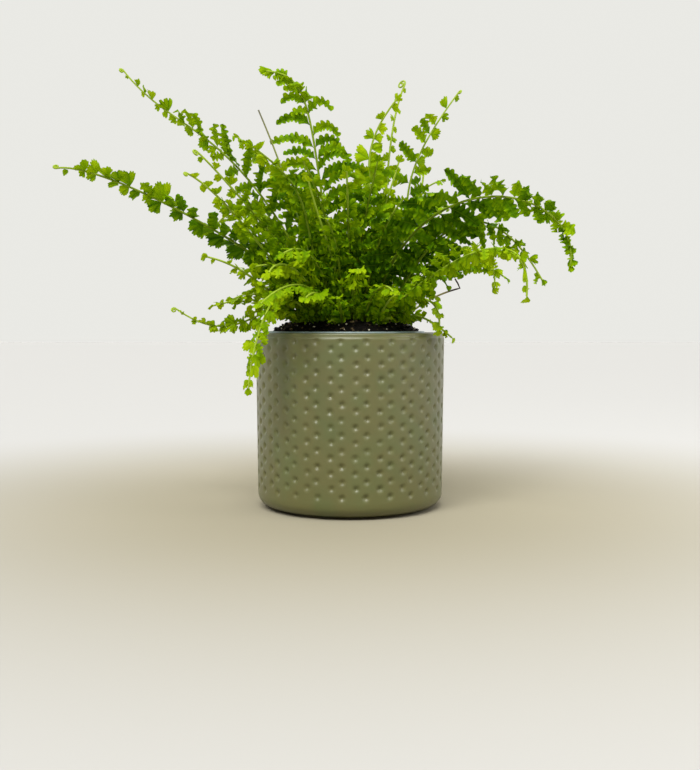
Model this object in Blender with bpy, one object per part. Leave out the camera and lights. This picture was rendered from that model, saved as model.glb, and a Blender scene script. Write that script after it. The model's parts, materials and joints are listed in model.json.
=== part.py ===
"""Potted Boston fern: a ruffled sword fern in its nursery pot, which stands inside a dimpled ceramic cover pot.

Run with: blender --background --python part.py
Units are metres and +Z is up. The origin is the centre of the cover pot's foot. -Y is the side that faces the viewer.
"""

import math
import random
from collections import namedtuple

import bmesh
import bpy
from mathutils import Vector
from mathutils.bvhtree import BVHTree

MM = 0.001
GAP = 0.3 * MM  # between pieces that rest on or in each other
SMOOTH_ANGLE = 40  # degrees: edges flatter than this are shaded smooth

# Cover pot: a slightly tapered ceramic cylinder with a rounded lip and foot
POT_RADIUS = 65 * MM
POT_HEIGHT = 120 * MM
POT_TAPER = 1.2 * MM  # how much less the radius is at the foot
POT_WALL = 6 * MM
POT_FLOOR = 6 * MM
LIP_ROUND = 2.6 * MM
FOOT_ROUND = 8 * MM
FOOT_STEPS = 3
POT_SIDES = 28

# Dimples: a staggered lattice of diamonds round the wall, each with one small pit, larger and fewer than life
DIMPLE_ROWS = 12
DIMPLE_TOP = 114 * MM
DIMPLE_BOTTOM = 11 * MM
DIMPLE_RADIUS = 3.4 * MM
DIMPLE_DEPTH = 1.3 * MM
DIMPLE_INSET = 1.3 * MM  # before the pit's corners are set at its radius

# Nursery pot: thin plastic, its rim just above the cover pot's lip and a little left of centre
NURSERY_SHIFT = -3 * MM
NURSERY_TOP = 121.5 * MM
NURSERY_RADIUS = 53 * MM
NURSERY_BASE = 42 * MM
NURSERY_WALL = 1.2 * MM
NURSERY_LIP = 1.6 * MM
NURSERY_LIP_HEIGHT = 4 * MM
NURSERY_ROUND = 0.5 * MM
NURSERY_SIDES = 24
DRAIN_HOLES = 4
DRAIN_RADIUS = 4 * MM
DRAIN_CIRCLE = 26 * MM
DRAIN_SIDES = 8

# Soil: fills the nursery pot and rises in a low mound to the crown
SOIL_EDGE = 119.5 * MM
SOIL_MOUND = 7.5 * MM
SOIL_LUMP = 0.7 * MM
SOIL_RINGS = (1.0, 0.8, 0.58, 0.34)

# Fronds: a four-sided stem with leaflets as thin blades that are one body with it
BURIED = 9 * MM
ABOVE = 4 * MM  # the straight part of a stem that stands out of its hole
STEM_ROOT = 0.9 * MM  # half the stem's width at the soil
STEM_TIP = 0.5 * MM
STEM_CLEAR = 3.1 * MM  # between the centre lines of two stems
BLADE_HALF = 0.45 * MM
BLADE_CLEAR = 0.6 * MM
CURVE_STEPS = 200
BARE_SHARE = 0.16  # of a stem's length, before its first leaflet
BARE_MIDDLE = 0.5  # of that bare part, where it has a station
FIRST_LEAFY = 3  # the station where the leaflets begin
PITCH_WIDE = 8.4 * MM  # along the stem, from a leaflet to the next one on the other side
PITCH_NARROW = 6.2 * MM  # the same towards the tip
LEAFLET_HALF = 1.8 * MM  # half the width of a leaflet, to which a share of its length is added
LEAFLET_WIDENS = 0.07
LEAFLET_LEAN = 30  # degrees that a leaflet points forward of square to the stem
LEAFLET_LEAN_TIP = 14  # further degrees towards the tip
LEAFLET_DROP = 0.18  # how far a leaflet's end hangs, as a share of its length
LENGTH_SPREAD = (0.9, 1.08)  # from leaflet to leaflet
TILT_SPREAD = (-8, 12)  # degrees that leaflets rise from the plane of the blade
LIFTS = (0, 14, -14, 28, -28, 42)  # further degrees, tried in turn where a leaflet would touch something
SHORTENED = (1.0, 0.82, 0.66, 0.5)  # shares of its length, tried in turn after those

# Outer corners of a leaflet: how far out, as a share of its length, and how far towards the frond's tip, as a share
# of half its width. A long one is a strap with a rounded end, and a short one a small fan.
STRAP = ((0.80, 0.95), (1.0, 0.0), (0.72, -0.95))
FAN = ((0.92, 1.2), (0.86, -1.1))
SHORTEST_STRAP = 11 * MM
ROOT_SHARE = 0.15  # of a leaflet's edges, where it may touch its own stem

# Each frond: azimuth in degrees (0 right, 90 away, 270 towards the viewer); reach from the axis, height of the tip
# above the ground and root radius in mm; rise and nod, the slopes in degrees at the soil and at the tip; hold and
# hook, the shares of its span over which it keeps them; face, how far the blade is turned to the viewer in degrees;
# leaflet, the longest in mm; taper, how soon the leaflets shrink towards the tip; tone, 0 deep green to 1 bright.
Frond = namedtuple("Frond", "name azimuth reach height root rise nod hold hook face leaflet taper tone")
SEEN_FRONDS = (
    Frond("left_long", 205, 196, 220, 21, 85, -16, 0.16, 0.15, 50, 22, 0.9, 0.3),
    Frond("left_tall", 178, 156, 300, 12, 66, 52, 0.70, 0.28, 50, 26, 1.8, 0.6),
    Frond("left_curl", 209, 111, 235, 14, 85, 35, 0.12, 0.12, 55, 18, 1.5, 0.8),
    Frond("left_second", 218, 127, 218, 24, 40, 18, 0.20, 0.25, 45, 18, 1.4, 0.6),
    Frond("left_short", 222, 118, 167, 32, 32, 8, 0.60, 0.26, 40, 16, 1.2, 0.9),
    Frond("left_low", 172, 125, 137, 27, 44, 35, 0.50, 0.65, 35, 15, 1.2, 0.9),
    Frond("left_skirt", 196, 95, 138, 25, 85, -12, 0.65, 0.60, 30, 15, 0.9, 0.9),
    Frond("left_shade", 188, 100, 186, 20, 82, -13, 0.20, 0.15, 45, 20, 0.9, 0.1),
    Frond("rim_droop", 230, 98, 86, 23, 68, -84, 0.80, 0.62, 0, 12, 0.7, 1.0),
    Frond("crown_tall", 188, 57, 296, 6, 80, 0, 0.76, 0.20, 75, 28, 0.6, 0.4),
    Frond("left_behind", 148, 96, 262, 18, 85, 40, 0.44, 0.60, 45, 20, 1.0, 0.4),
    Frond("left_heart", 158, 82, 238, 13, 62, 25, 0.60, 0.50, 50, 20, 1.0, 0.4),
    Frond("mid_left", 232, 67, 228, 10, 76, 40, 0.50, 0.30, 40, 20, 1.1, 0.5),
    Frond("right_bent", 334, 35, 276, 7, 74, 46, 0.62, 0.40, 60, 20, 1.4, 0.8),
    Frond("right_tall", 24, 42, 293, 12, 55, 64, 0.20, 0.28, 55, 14, 1.2, 0.9),
    Frond("right_lean", 4, 75, 285, 15, 62, 53, 0.58, 0.60, 65, 24, 1.1, 0.6),
    Frond("right_mid", 348, 34, 236, 15, 88, 74, 0.80, 0.46, 45, 17, 1.3, 0.7),
    Frond("right_wisp", 34, 64, 242, 18, 68, 92, 0.80, 0.22, 40, 13, 0.9, 0.9),
    Frond("right_long", 328, 158, 161, 16, 76, -100, 0.82, 0.36, 50, 30, 0.8, 0.0),
    Frond("right_second", 338, 133, 154, 24, 64, -60, 0.86, 0.56, 45, 24, 0.9, 0.2),
    Frond("right_third", 312, 153, 142, 26, 45, -95, 0.20, 0.52, 25, 18, 0.9, 0.9),
    Frond("right_far", 356, 99, 150, 22, 68, -95, 0.66, 0.62, 35, 18, 0.8, 0.8),
    Frond("right_hook", 322, 73, 122, 27, 50, -100, 0.75, 0.55, 20, 10, 0.8, 0.9),
    Frond("front_mid", 268, 58, 222, 9, 82, 50, 0.45, 0.30, 0, 18, 1.1, 0.6),
    Frond("front_right", 303, 62, 205, 14, 76, 30, 0.45, 0.30, 15, 20, 1.1, 0.3),
    Frond("front_left", 238, 78, 170, 19, 74, -25, 0.50, 0.40, 0, 18, 0.8, 1.0),
    Frond("front_low_left", 241, 110, 138, 27, 66, -30, 0.45, 0.40, 0, 18, 0.7, 1.0),
    Frond("front_low_mid", 250, 80, 142, 27, 64, -25, 0.40, 0.35, 0, 18, 0.8, 0.9),
    Frond("front_low_right", 290, 78, 146, 26, 66, -30, 0.40, 0.35, 0, 17, 0.8, 0.8),
    Frond("front_star", 274, 70, 160, 20, 74, 0, 0.40, 0.35, 0, 18, 0.8, 0.8),
    Frond("sprout_left", 229, 60, 142, 38, 72, 10, 0.40, 0.35, 10, 13, 0.9, 1.0),
    Frond("sprout_mid", 262, 59, 143, 36, 74, 10, 0.40, 0.35, 0, 13, 0.9, 0.7),
    Frond("sprout_right", 301, 60, 145, 36, 74, 10, 0.40, 0.35, 0, 13, 0.9, 0.9),
    Frond("front_heart", 256, 64, 192, 16, 76, 12, 0.45, 0.35, 0, 20, 0.9, 0.4),
)

# The far side and the heart, which the viewer can't tell frond from frond, as tiers that each fan out evenly.
# Each tier: name, count, first azimuth and step; then the span of reach, height, root, rise, nod and leaflet
Tier = namedtuple("Tier", "name count first step reach height root rise nod leaflet")
TIERS = (
    Tier("far_long", 4, 36, 33, (130, 162), (172, 232), (17, 20), (64, 74), (-45, 5), (21, 26)),
    Tier("far_middle", 5, 20, 31, (74, 104), (196, 240), (11, 15), (68, 78), (0, 35), (18, 22)),
    Tier("far_skirt", 5, 14, 37, (88, 120), (142, 162), (23, 27), (60, 68), (-50, -20), (16, 19)),
    Tier("heart", 5, 60, 74, (30, 48), (196, 236), (4, 9), (80, 87), (40, 65), (16, 20)),
)
TIER_HOLD = 0.45
TIER_HOOK = 0.35
TIER_SWAY = (-6, 6)  # degrees off the even fan
TIER_FACE = (-10, 20)
TIER_TAPER = (0.8, 1.2)
TIER_TONE = (0.0, 0.9)
AZIMUTH_STEP = 3  # a stem that would touch another is turned on by this much
SEED = 7

# Bare stems: one that has lost its leaflets, and one dry twig
BARE_STEM = Frond("bare_stem", 193, 63, 269, 14, 72, 66, 0.40, 0.37, 0, 0, 1, 0.5)
DRY_TWIG = Frond("dry_twig", 347, 76, 150, 29, 36, 14, 0.40, 0.40, 0, 0, 1, 0)
BARE_HALF = 0.7 * MM
BARE_STATIONS = (0.2, 0.45, 0.7, 0.9, 1.0)  # shares of its length

FINISHES = {
    "sage_glaze": ((0.255, 0.262, 0.152), 0.28),
    "nursery_plastic": ((0.20, 0.25, 0.26), 0.45),
    "potting_soil": ((0.012, 0.009, 0.006), 0.95),
    "leaf_bright": ((0.30, 0.50, 0.03), 0.5),
    "leaf_mid": ((0.16, 0.36, 0.02), 0.5),
    "leaf_deep": ((0.06, 0.20, 0.015), 0.5),
    "dry_stem": ((0.20, 0.12, 0.04), 0.8),
}
BRIGHT_TONE = 0.75
DEEP_TONE = 0.35


def clear_scene():
    for leftover in list(bpy.data.objects):
        bpy.data.objects.remove(leftover)


def finish_named(name):
    """The Principled material of this name, made on first use."""
    if name in bpy.data.materials:
        return bpy.data.materials[name]
    colour, roughness = FINISHES[name]
    material = bpy.data.materials.new(name)
    material.use_nodes = True
    shader = material.node_tree.nodes["Principled BSDF"]
    shader.inputs["Base Color"].default_value = (*colour, 1)
    shader.inputs["Roughness"].default_value = roughness
    shader.inputs["Metallic"].default_value = 0
    return material


def object_from(bm, name, finish, smooth_angle=None):
    """A named object with this mesh, its faces pointing out."""
    bmesh.ops.recalc_face_normals(bm, faces=bm.faces)
    mesh = bpy.data.meshes.new(name)
    bm.to_mesh(mesh)
    bm.free()
    mesh.materials.append(finish_named(finish))
    if smooth_angle is not None:
        mesh.shade_smooth()
        mesh.set_sharp_from_angle(angle=math.radians(smooth_angle))
    made = bpy.data.objects.new(name, mesh)
    bpy.context.scene.collection.objects.link(made)
    return made


def ring(bm, radius, z, sides, shift=0.0):
    """One level of vertices round the axis."""
    found = []
    for k in range(sides):
        angle = 2 * math.pi * k / sides
        found.append(bm.verts.new((shift + radius * math.cos(angle), radius * math.sin(angle), z)))
    return found


def join_rings(bm, lower, upper):
    for k in range(len(lower)):
        after = (k + 1) % len(lower)
        bm.faces.new((lower[k], lower[after], upper[after], upper[k]))


# Cover pot


def pot_radius(z):
    return POT_RADIUS - POT_TAPER * (1 - z / POT_HEIGHT)


def dimpled_wall(bm):
    """A lattice of diamonds, each with a pit in its middle. Returns its lowest and highest ring of vertices."""
    step = (DIMPLE_TOP - DIMPLE_BOTTOM) / (DIMPLE_ROWS + 1)
    rings = []
    for level in range(DIMPLE_ROWS + 2):
        z = DIMPLE_BOTTOM + step * level
        rings.append(ring(bm, pot_radius(z), z, POT_SIDES))
    diamonds, middles = [], []
    for row in range(1, DIMPLE_ROWS + 1):
        below, here, above = rings[row - 1 : row + 2]
        for k in range(row % 2, POT_SIDES, 2):
            after = (k + 1) % POT_SIDES
            diamonds.append(bm.faces.new((below[k], here[after], above[k], here[k - 1])))
            middles.append(here[k])
    for edge, nearest, first in ((rings[0], rings[1], 1), (rings[-1], rings[-2], DIMPLE_ROWS % 2)):
        for k in range(first, POT_SIDES, 2):
            after = (k + 1) % POT_SIDES
            bm.faces.new((edge[k - 1], edge[k], nearest[k - 1]))
            bm.faces.new((edge[k], edge[after], nearest[after]))
    bmesh.ops.delete(bm, geom=middles, context="VERTS")
    bmesh.ops.recalc_face_normals(bm, faces=bm.faces)
    bmesh.ops.inset_individual(bm, faces=diamonds, thickness=DIMPLE_INSET, use_even_offset=True)
    for diamond in diamonds:
        centre = diamond.calc_center_median()
        for vert in diamond.verts:
            vert.co = centre + (vert.co - centre).normalized() * DIMPLE_RADIUS
    for centre in bmesh.ops.poke(bm, faces=diamonds)["verts"]:
        centre.co -= Vector((centre.co.x, centre.co.y, 0)).normalized() * DIMPLE_DEPTH
    return rings[0], rings[-1]


def cover_pot():
    bm = bmesh.new()
    lowest, highest = dimpled_wall(bm)
    foot_radius = pot_radius(0) - FOOT_ROUND
    above = lowest
    for step in range(FOOT_STEPS + 1):
        angle = math.pi / 2 * step / FOOT_STEPS
        level = ring(bm, foot_radius + FOOT_ROUND * math.cos(angle), FOOT_ROUND * (1 - math.sin(angle)), POT_SIDES)
        join_rings(bm, level, above)
        above = level
    bm.faces.new(above)
    inner = POT_RADIUS - POT_WALL
    inner_base = inner - POT_TAPER
    mouth = (
        (POT_RADIUS, POT_HEIGHT - LIP_ROUND),
        (POT_RADIUS - LIP_ROUND * 0.3, POT_HEIGHT - LIP_ROUND * 0.3),
        (POT_RADIUS - LIP_ROUND, POT_HEIGHT),
        (inner + LIP_ROUND * 0.4, POT_HEIGHT),
        (inner, POT_HEIGHT - LIP_ROUND * 0.5),
        (inner_base, POT_FLOOR + FOOT_ROUND * 0.5),
        (inner_base - FOOT_ROUND * 0.5, POT_FLOOR),
    )
    below = highest
    for radius, z in mouth:
        level = ring(bm, radius, z, POT_SIDES)
        join_rings(bm, below, level)
        below = level
    bm.faces.new(below)
    return object_from(bm, "cover_pot", "sage_glaze", SMOOTH_ANGLE)


# Nursery pot


def nursery_inner(z):
    """Inner radius of the nursery pot's tapered wall at a height."""
    share = (z - POT_FLOOR) / (NURSERY_TOP - POT_FLOOR)
    return NURSERY_BASE + (NURSERY_RADIUS - NURSERY_BASE) * share - NURSERY_WALL


def cut_by(body, name, pegs):
    """Cuts all these pegs out of a body. They stay hidden, in a collection of their own."""
    kept = bpy.data.collections.new(name)
    bpy.context.scene.collection.children.link(kept)
    kept.hide_render = True
    for peg in pegs:
        bpy.context.scene.collection.objects.unlink(peg)
        kept.objects.link(peg)
        peg.hide_render = True
        peg.display_type = "WIRE"
    holes = body.modifiers.new(name, "BOOLEAN")
    holes.operation = "DIFFERENCE"
    holes.operand_type = "COLLECTION"
    holes.collection = kept


def drain_peg(k):
    """A peg through the nursery pot's floor, longer than the floor is thick."""
    angle = 2 * math.pi * (k + 0.5) / DRAIN_HOLES
    bm = bmesh.new()
    bmesh.ops.create_cone(
        bm,
        cap_ends=True,
        segments=DRAIN_SIDES,
        radius1=DRAIN_RADIUS,
        radius2=DRAIN_RADIUS,
        depth=NURSERY_WALL * 6,
    )
    where = Vector((NURSERY_SHIFT + DRAIN_CIRCLE * math.cos(angle), DRAIN_CIRCLE * math.sin(angle), POT_FLOOR))
    bmesh.ops.translate(bm, verts=bm.verts, vec=where)
    return object_from(bm, f"drain_peg_{k}", "nursery_plastic")


def nursery_pot():
    bm = bmesh.new()
    floor_z = POT_FLOOR + GAP
    lip_z = NURSERY_TOP - NURSERY_LIP_HEIGHT
    profile = (
        (NURSERY_BASE, floor_z),
        (nursery_inner(lip_z) + NURSERY_WALL, lip_z),
        (NURSERY_RADIUS + NURSERY_LIP, lip_z),
        (NURSERY_RADIUS + NURSERY_LIP, NURSERY_TOP - NURSERY_ROUND),
        (NURSERY_RADIUS + NURSERY_LIP - NURSERY_ROUND, NURSERY_TOP),
        (nursery_inner(NURSERY_TOP), NURSERY_TOP),
        (nursery_inner(floor_z + NURSERY_WALL), floor_z + NURSERY_WALL),
    )
    levels = [ring(bm, radius, z, NURSERY_SIDES, shift=NURSERY_SHIFT) for radius, z in profile]
    for lower, upper in zip(levels, levels[1:]):
        join_rings(bm, lower, upper)
    bm.faces.new(levels[0])
    bm.faces.new(levels[-1])
    pot = object_from(bm, "nursery_pot", "nursery_plastic", SMOOTH_ANGLE)
    cut_by(pot, "drain_holes", [drain_peg(k) for k in range(DRAIN_HOLES)])
    return pot


# Soil


def soil_height(radius):
    """Height of the mound, without its lumps, at a distance from the nursery pot's axis."""
    share = min(1.0, radius / NURSERY_RADIUS)
    return SOIL_EDGE + SOIL_MOUND * (1 - share * share)


def potting_soil(stems):
    draw = random.Random(SEED)
    bm = bmesh.new()
    bottom_z = POT_FLOOR + GAP + NURSERY_WALL + GAP
    levels = [ring(bm, nursery_inner(bottom_z) - GAP, bottom_z, NURSERY_SIDES, shift=NURSERY_SHIFT)]
    for share in SOIL_RINGS:
        radius = (nursery_inner(SOIL_EDGE) - GAP) * share
        level = ring(bm, radius, soil_height(radius), NURSERY_SIDES, shift=NURSERY_SHIFT)
        if share < 1:
            for vert in level:
                vert.co.z += draw.uniform(-SOIL_LUMP, SOIL_LUMP)
        levels.append(level)
    for lower, upper in zip(levels, levels[1:]):
        join_rings(bm, lower, upper)
    bm.faces.new(levels[0])
    bm.faces.new(levels[-1])
    bmesh.ops.triangulate(bm, faces=[face for face in bm.faces if len(face.verts) > 4 or face.normal.z > 0.2])
    soil = object_from(bm, "potting_soil", "potting_soil")
    cut_by(soil, "stem_holes", [stem_peg(stem) for stem in stems])
    return soil


def stem_peg(stem):
    """A square peg a little wider than the foot of the stem, which cuts the hole that it stands in."""
    bm = bmesh.new()
    straight = (stem.points[1] - stem.points[0]).normalized()
    ends = (stem.points[0] - straight * GAP, stem.points[1])
    squares = [[bm.verts.new(end + edge) for edge in square_edges(stem, 0, stem.halves[0] + GAP)] for end in ends]
    for k in range(4):
        bm.faces.new((squares[0][k], squares[0][k - 1], squares[1][k - 1], squares[1][k]))
    for square in squares:
        bm.faces.new(square)
    return object_from(bm, f"stem_peg_{stem.frond.name}", "potting_soil")


# Stems

Stem = namedtuple("Stem", "frond points sides ups halves")


def square_edges(stem, station, half):
    """From the stem's centre line to its four edges: right top, right bottom, left bottom, left top."""
    side, up = stem.sides[station] * half, stem.ups[station] * half
    return side + up, side - up, -side - up, up - side


def heading(azimuth, slope):
    around, rise = math.radians(azimuth), math.radians(slope)
    return Vector((math.cos(around) * math.cos(rise), math.sin(around) * math.cos(rise), math.sin(rise)))


def stem_curve(frond):
    """Points of a frond's stem from the soil to its tip: a cubic curve in an upright plane."""
    outwards = heading(frond.azimuth, 0)
    foot = outwards * (frond.root * MM)
    foot.z = soil_height(frond.root * MM) - SOIL_LUMP
    tip = outwards * (frond.reach * MM)
    tip.z = frond.height * MM
    span = (tip - foot).length
    near = foot + heading(frond.azimuth, frond.rise) * (span * frond.hold)
    far = tip - heading(frond.azimuth, frond.nod) * (span * frond.hook)
    points = []
    for k in range(CURVE_STEPS + 1):
        t = k / CURVE_STEPS
        inner = near * (3 * t * (1 - t) ** 2) + far * (3 * t * t * (1 - t))
        points.append(foot * (1 - t) ** 3 + inner + tip * t**3)
    return points


def spaced(points, distances):
    """The places at these rising distances along the line through points."""
    found, k, passed = [], 0, 0.0
    for distance in distances:
        while k < len(points) - 2 and passed + (points[k + 1] - points[k]).length < distance:
            passed += (points[k + 1] - points[k]).length
            k += 1
        run = points[k + 1] - points[k]
        found.append(points[k] + run * min(1.0, (distance - passed) / run.length))
    return found


def blade_frame(along, azimuth, face):
    """The blade's upward and sideways directions at a point of the stem, turned to the viewer by face degrees."""
    level = Vector((-math.sin(math.radians(azimuth)), math.cos(math.radians(azimuth)), 0))
    up = along.cross(level).normalized() * -1
    viewer = Vector((0, -1, 0))
    viewer = (viewer - along * viewer.dot(along)).normalized()
    turn = math.radians(face)
    up = (up * math.cos(turn) + viewer * math.sin(turn)).normalized()
    return up, along.cross(up).normalized()


def leaflet_share(t, taper):
    """Length of a leaflet as a share of the longest, from the first leaflet, t = 0, to the tip, t = 1."""
    rising = 0.6 + 0.4 * min(1.0, t / 0.2)
    return rising * (0.22 + 0.78 * (1 - t) ** taper)


def leafy_stations(frond, length):
    """Distances along the stem where a leaflet begins, to the tip, spaced closer as the leaflets shrink."""
    along = BARE_SHARE * length
    found = [along]
    while along < length - PITCH_NARROW * 1.4:
        t = (along / length - BARE_SHARE) / (1 - BARE_SHARE)
        along += PITCH_NARROW + (PITCH_WIDE - PITCH_NARROW) * leaflet_share(t, frond.taper)
        found.append(along)
    found[-1] = length
    return found


def grow_stem(frond):
    """The stem's stations: its end in the soil, two on its bare part, then one at each leaflet."""
    curve = stem_curve(frond)
    length = sum((after - before).length for before, after in zip(curve, curve[1:]))
    if frond.leaflet:
        stations = [BARE_MIDDLE * BARE_SHARE * length, *leafy_stations(frond, length)]
    else:
        stations = [length * share for share in BARE_STATIONS]
    start = heading(frond.azimuth, frond.rise)
    points = [curve[0] - start * BURIED, curve[0] + start * ABOVE, *spaced(curve, stations)]
    sides, ups = [], []
    for k in range(len(points)):
        along = (points[min(k + 1, len(points) - 1)] - points[max(k - 1, 0)]).normalized()
        if k < 2:
            along = start
        up, side = blade_frame(along, frond.azimuth, frond.face)
        ups.append(up)
        sides.append(side)
    thick = STEM_ROOT if frond.leaflet else BARE_HALF
    halves = [thick + (STEM_TIP - thick) * k / (len(points) - 1) for k in range(len(points))]
    halves[1] = halves[0]
    return Stem(frond, points, sides, ups, halves)


def stem_gap(one, other):
    """Least distance between two stems' centre lines, read at the stations of the first."""
    least = 1.0
    for point in one.points:
        for before, after in zip(other.points, other.points[1:]):
            run = after - before
            share = max(0.0, min(1.0, (point - before).dot(run) / run.length_squared))
            least = min(least, (point - before - run * share).length)
    return least


def grown_clear(frond, standing):
    """The stem of this frond, turned on round the crown until it clears those that stand already."""
    while True:
        stem = grow_stem(frond)
        if all(min(stem_gap(stem, other), stem_gap(other, stem)) > STEM_CLEAR for other in standing):
            return stem
        frond = frond._replace(azimuth=frond.azimuth + AZIMUTH_STEP)


def planted():
    """Every stem of the fern: those that the viewer can name, then the bare ones, then the tiers."""
    stems = []
    for frond in (*SEEN_FRONDS, BARE_STEM, DRY_TWIG):
        stems.append(grown_clear(frond, stems))
    draw = random.Random(SEED)
    for tier in TIERS:
        for k in range(tier.count):
            frond = Frond(
                f"{tier.name}_{k + 1}",
                tier.first + tier.step * k + draw.uniform(*TIER_SWAY),
                draw.uniform(*tier.reach),
                draw.uniform(*tier.height),
                draw.uniform(*tier.root),
                draw.uniform(*tier.rise),
                draw.uniform(*tier.nod),
                TIER_HOLD,
                TIER_HOOK,
                draw.uniform(*TIER_FACE),
                draw.uniform(*tier.leaflet),
                draw.uniform(*TIER_TAPER),
                draw.uniform(*TIER_TONE),
            )
            stems.append(grown_clear(frond, stems))
    return stems


# Leaflets


def leafy_share(stem, k):
    """How far station k is along the leafy part of the stem, 0 to 1."""
    return (k - FIRST_LEAFY) / (len(stem.points) - 1 - FIRST_LEAFY)


def leaflet_root(stem, k, side):
    """The two places on the stem's side, at stations k and k + 1, between which a leaflet stands."""
    near = stem.points[k] + stem.sides[k] * (side * stem.halves[k])
    far = stem.points[k + 1] + stem.sides[k + 1] * (side * stem.halves[k + 1])
    return near, far


def leaflet_outline(stem, k, side, length, lift, grow=0.0):
    """Outer corners of the leaflet between stations k and k + 1, from its edge nearer the frond's tip round its end."""
    near, far = leaflet_root(stem, k, side)
    along = (far - near).normalized()
    lean = math.radians(LEAFLET_LEAN + LEAFLET_LEAN_TIP * leafy_share(stem, k))
    out = stem.sides[k] * (side * math.cos(lift)) + stem.ups[k] * math.sin(lift)
    reach = (along * math.sin(lean) + out * math.cos(lean)).normalized()
    across = (along - reach * along.dot(reach)).normalized()
    half = LEAFLET_HALF + LEAFLET_WIDENS * length + grow
    corners = []
    for out_share, side_share in STRAP if length > SHORTEST_STRAP else FAN:
        hang = Vector((0, 0, -length * LEAFLET_DROP * out_share**2))
        spread = reach * ((length + grow) * out_share) + across * (half * side_share)
        corners.append((near + far) / 2 + spread + hang)
    return corners


def plate(corners, thickness):
    """Points and faces of a thin closed plate with these corners."""
    count = len(corners)
    points = [corner + thickness for corner in corners] + [corner - thickness for corner in corners]
    faces = [tuple(range(count)), tuple(range(2 * count - 1, count - 1, -1))]
    for k in range(count):
        after = (k + 1) % count
        faces.append((k, after, after + count, k + count))
    return points, faces


def free_part(stem, k, side, outer, thickness):
    """The leaflet as a plate, but for the root where it meets its own stem."""
    near, far = leaflet_root(stem, k, side)
    return plate([near.lerp(outer[-1], ROOT_SHARE), far.lerp(outer[0], ROOT_SHARE), *outer], thickness)


def settled_leaflet(stem, k, side, length, tilt, others, own):
    """The leaflet's outer corners, lifted, lowered or shortened until it is clear of all others, or None."""
    thickness = stem.ups[k] * (BLADE_HALF + BLADE_CLEAR)
    for share in SHORTENED:
        for lift in LIFTS:
            angle = math.radians(tilt + lift)
            grown = leaflet_outline(stem, k, side, length * share, angle, BLADE_CLEAR)
            whole = plate([*leaflet_root(stem, k, side), *grown], thickness)
            if others.overlap(BVHTree.FromPolygons(*whole)):
                continue
            if not own.overlap(BVHTree.FromPolygons(*free_part(stem, k, side, grown, thickness))):
                return leaflet_outline(stem, k, side, length * share, angle)
    return None


def gathered(shapes):
    """One tree of the faces of all these shapes, each a pair of points and faces."""
    points, faces = [], []
    for shape_points, shape_faces in shapes:
        start = len(points)
        points += shape_points
        faces += [tuple(index + start for index in face) for face in shape_faces]
    return BVHTree.FromPolygons(points, faces)


def add_leaflet(bm, near, far, outer, thickness):
    """A thin plate on a side face of the stem, whose corner pairs, top and bottom, are near and far."""
    pairs = [(bm.verts.new(point + thickness), bm.verts.new(point - thickness)) for point in outer]
    rim = [near, far, *pairs]
    triangles = ((0, 1, 2), (0, 2, 4), (4, 2, 3)) if len(outer) == len(STRAP) else ((0, 1, 2), (0, 2, 3))
    for a, b, c in triangles:
        bm.faces.new((rim[a][0], rim[b][0], rim[c][0]))
        bm.faces.new((rim[a][1], rim[b][1], rim[c][1]))
    for one, other in zip(rim[1:], rim[2:] + rim[:1]):
        bm.faces.new((one[0], other[0], other[1]))
        bm.faces.new((one[0], other[1], one[1]))


def tube_piece(stem, k):
    """Points and faces of the stem between stations k and k + 1."""
    points = []
    for station in (k, k + 1):
        points += [stem.points[station] + edge for edge in square_edges(stem, station, stem.halves[station])]
    return points, [(j, (j + 1) % 4, (j + 1) % 4 + 4, j + 4) for j in range(4)]


def frond_mesh(stem, others):
    """The stem as a square tube whose side faces carry the leaflets in turn, right and left, as one closed mesh."""
    bm = bmesh.new()
    squares = []
    for k, centre in enumerate(stem.points):
        squares.append([bm.verts.new(centre + edge) for edge in square_edges(stem, k, stem.halves[k])])
    last = len(stem.points) - 1
    draw = random.Random(stem.frond.name)
    grown = []
    for k in range(last):
        here, there = squares[k], squares[k + 1]
        bm.faces.new((here[3], here[0], there[0], there[3]))
        bm.faces.new((here[1], here[2], there[2], there[1]))
        for side, top, bottom in ((1, 0, 1), (-1, 3, 2)):
            outer = None
            if stem.frond.leaflet and k >= FIRST_LEAFY and (k - FIRST_LEAFY) % 2 == (side < 0):
                share = leaflet_share(leafy_share(stem, k), stem.frond.taper) * draw.uniform(*LENGTH_SPREAD)
                tilt = draw.uniform(*TILT_SPREAD)
                own = gathered(grown + [tube_piece(stem, j) for j in range(last) if abs(j - k) > 1])
                outer = settled_leaflet(stem, k, side, stem.frond.leaflet * MM * share, tilt, others, own)
            if outer is None:
                bm.faces.new((here[top], here[bottom], there[bottom], there[top]))
                continue
            thickness = stem.ups[k] * BLADE_HALF
            add_leaflet(bm, (here[top], here[bottom]), (there[top], there[bottom]), outer, thickness)
            grown.append(free_part(stem, k, side, outer, thickness))
    bm.faces.new(squares[0])
    bm.faces.new(squares[-1])
    return bm


def leaf_finish(tone):
    if tone > BRIGHT_TONE:
        return "leaf_bright"
    return "leaf_mid" if tone > DEEP_TONE else "leaf_deep"


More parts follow.
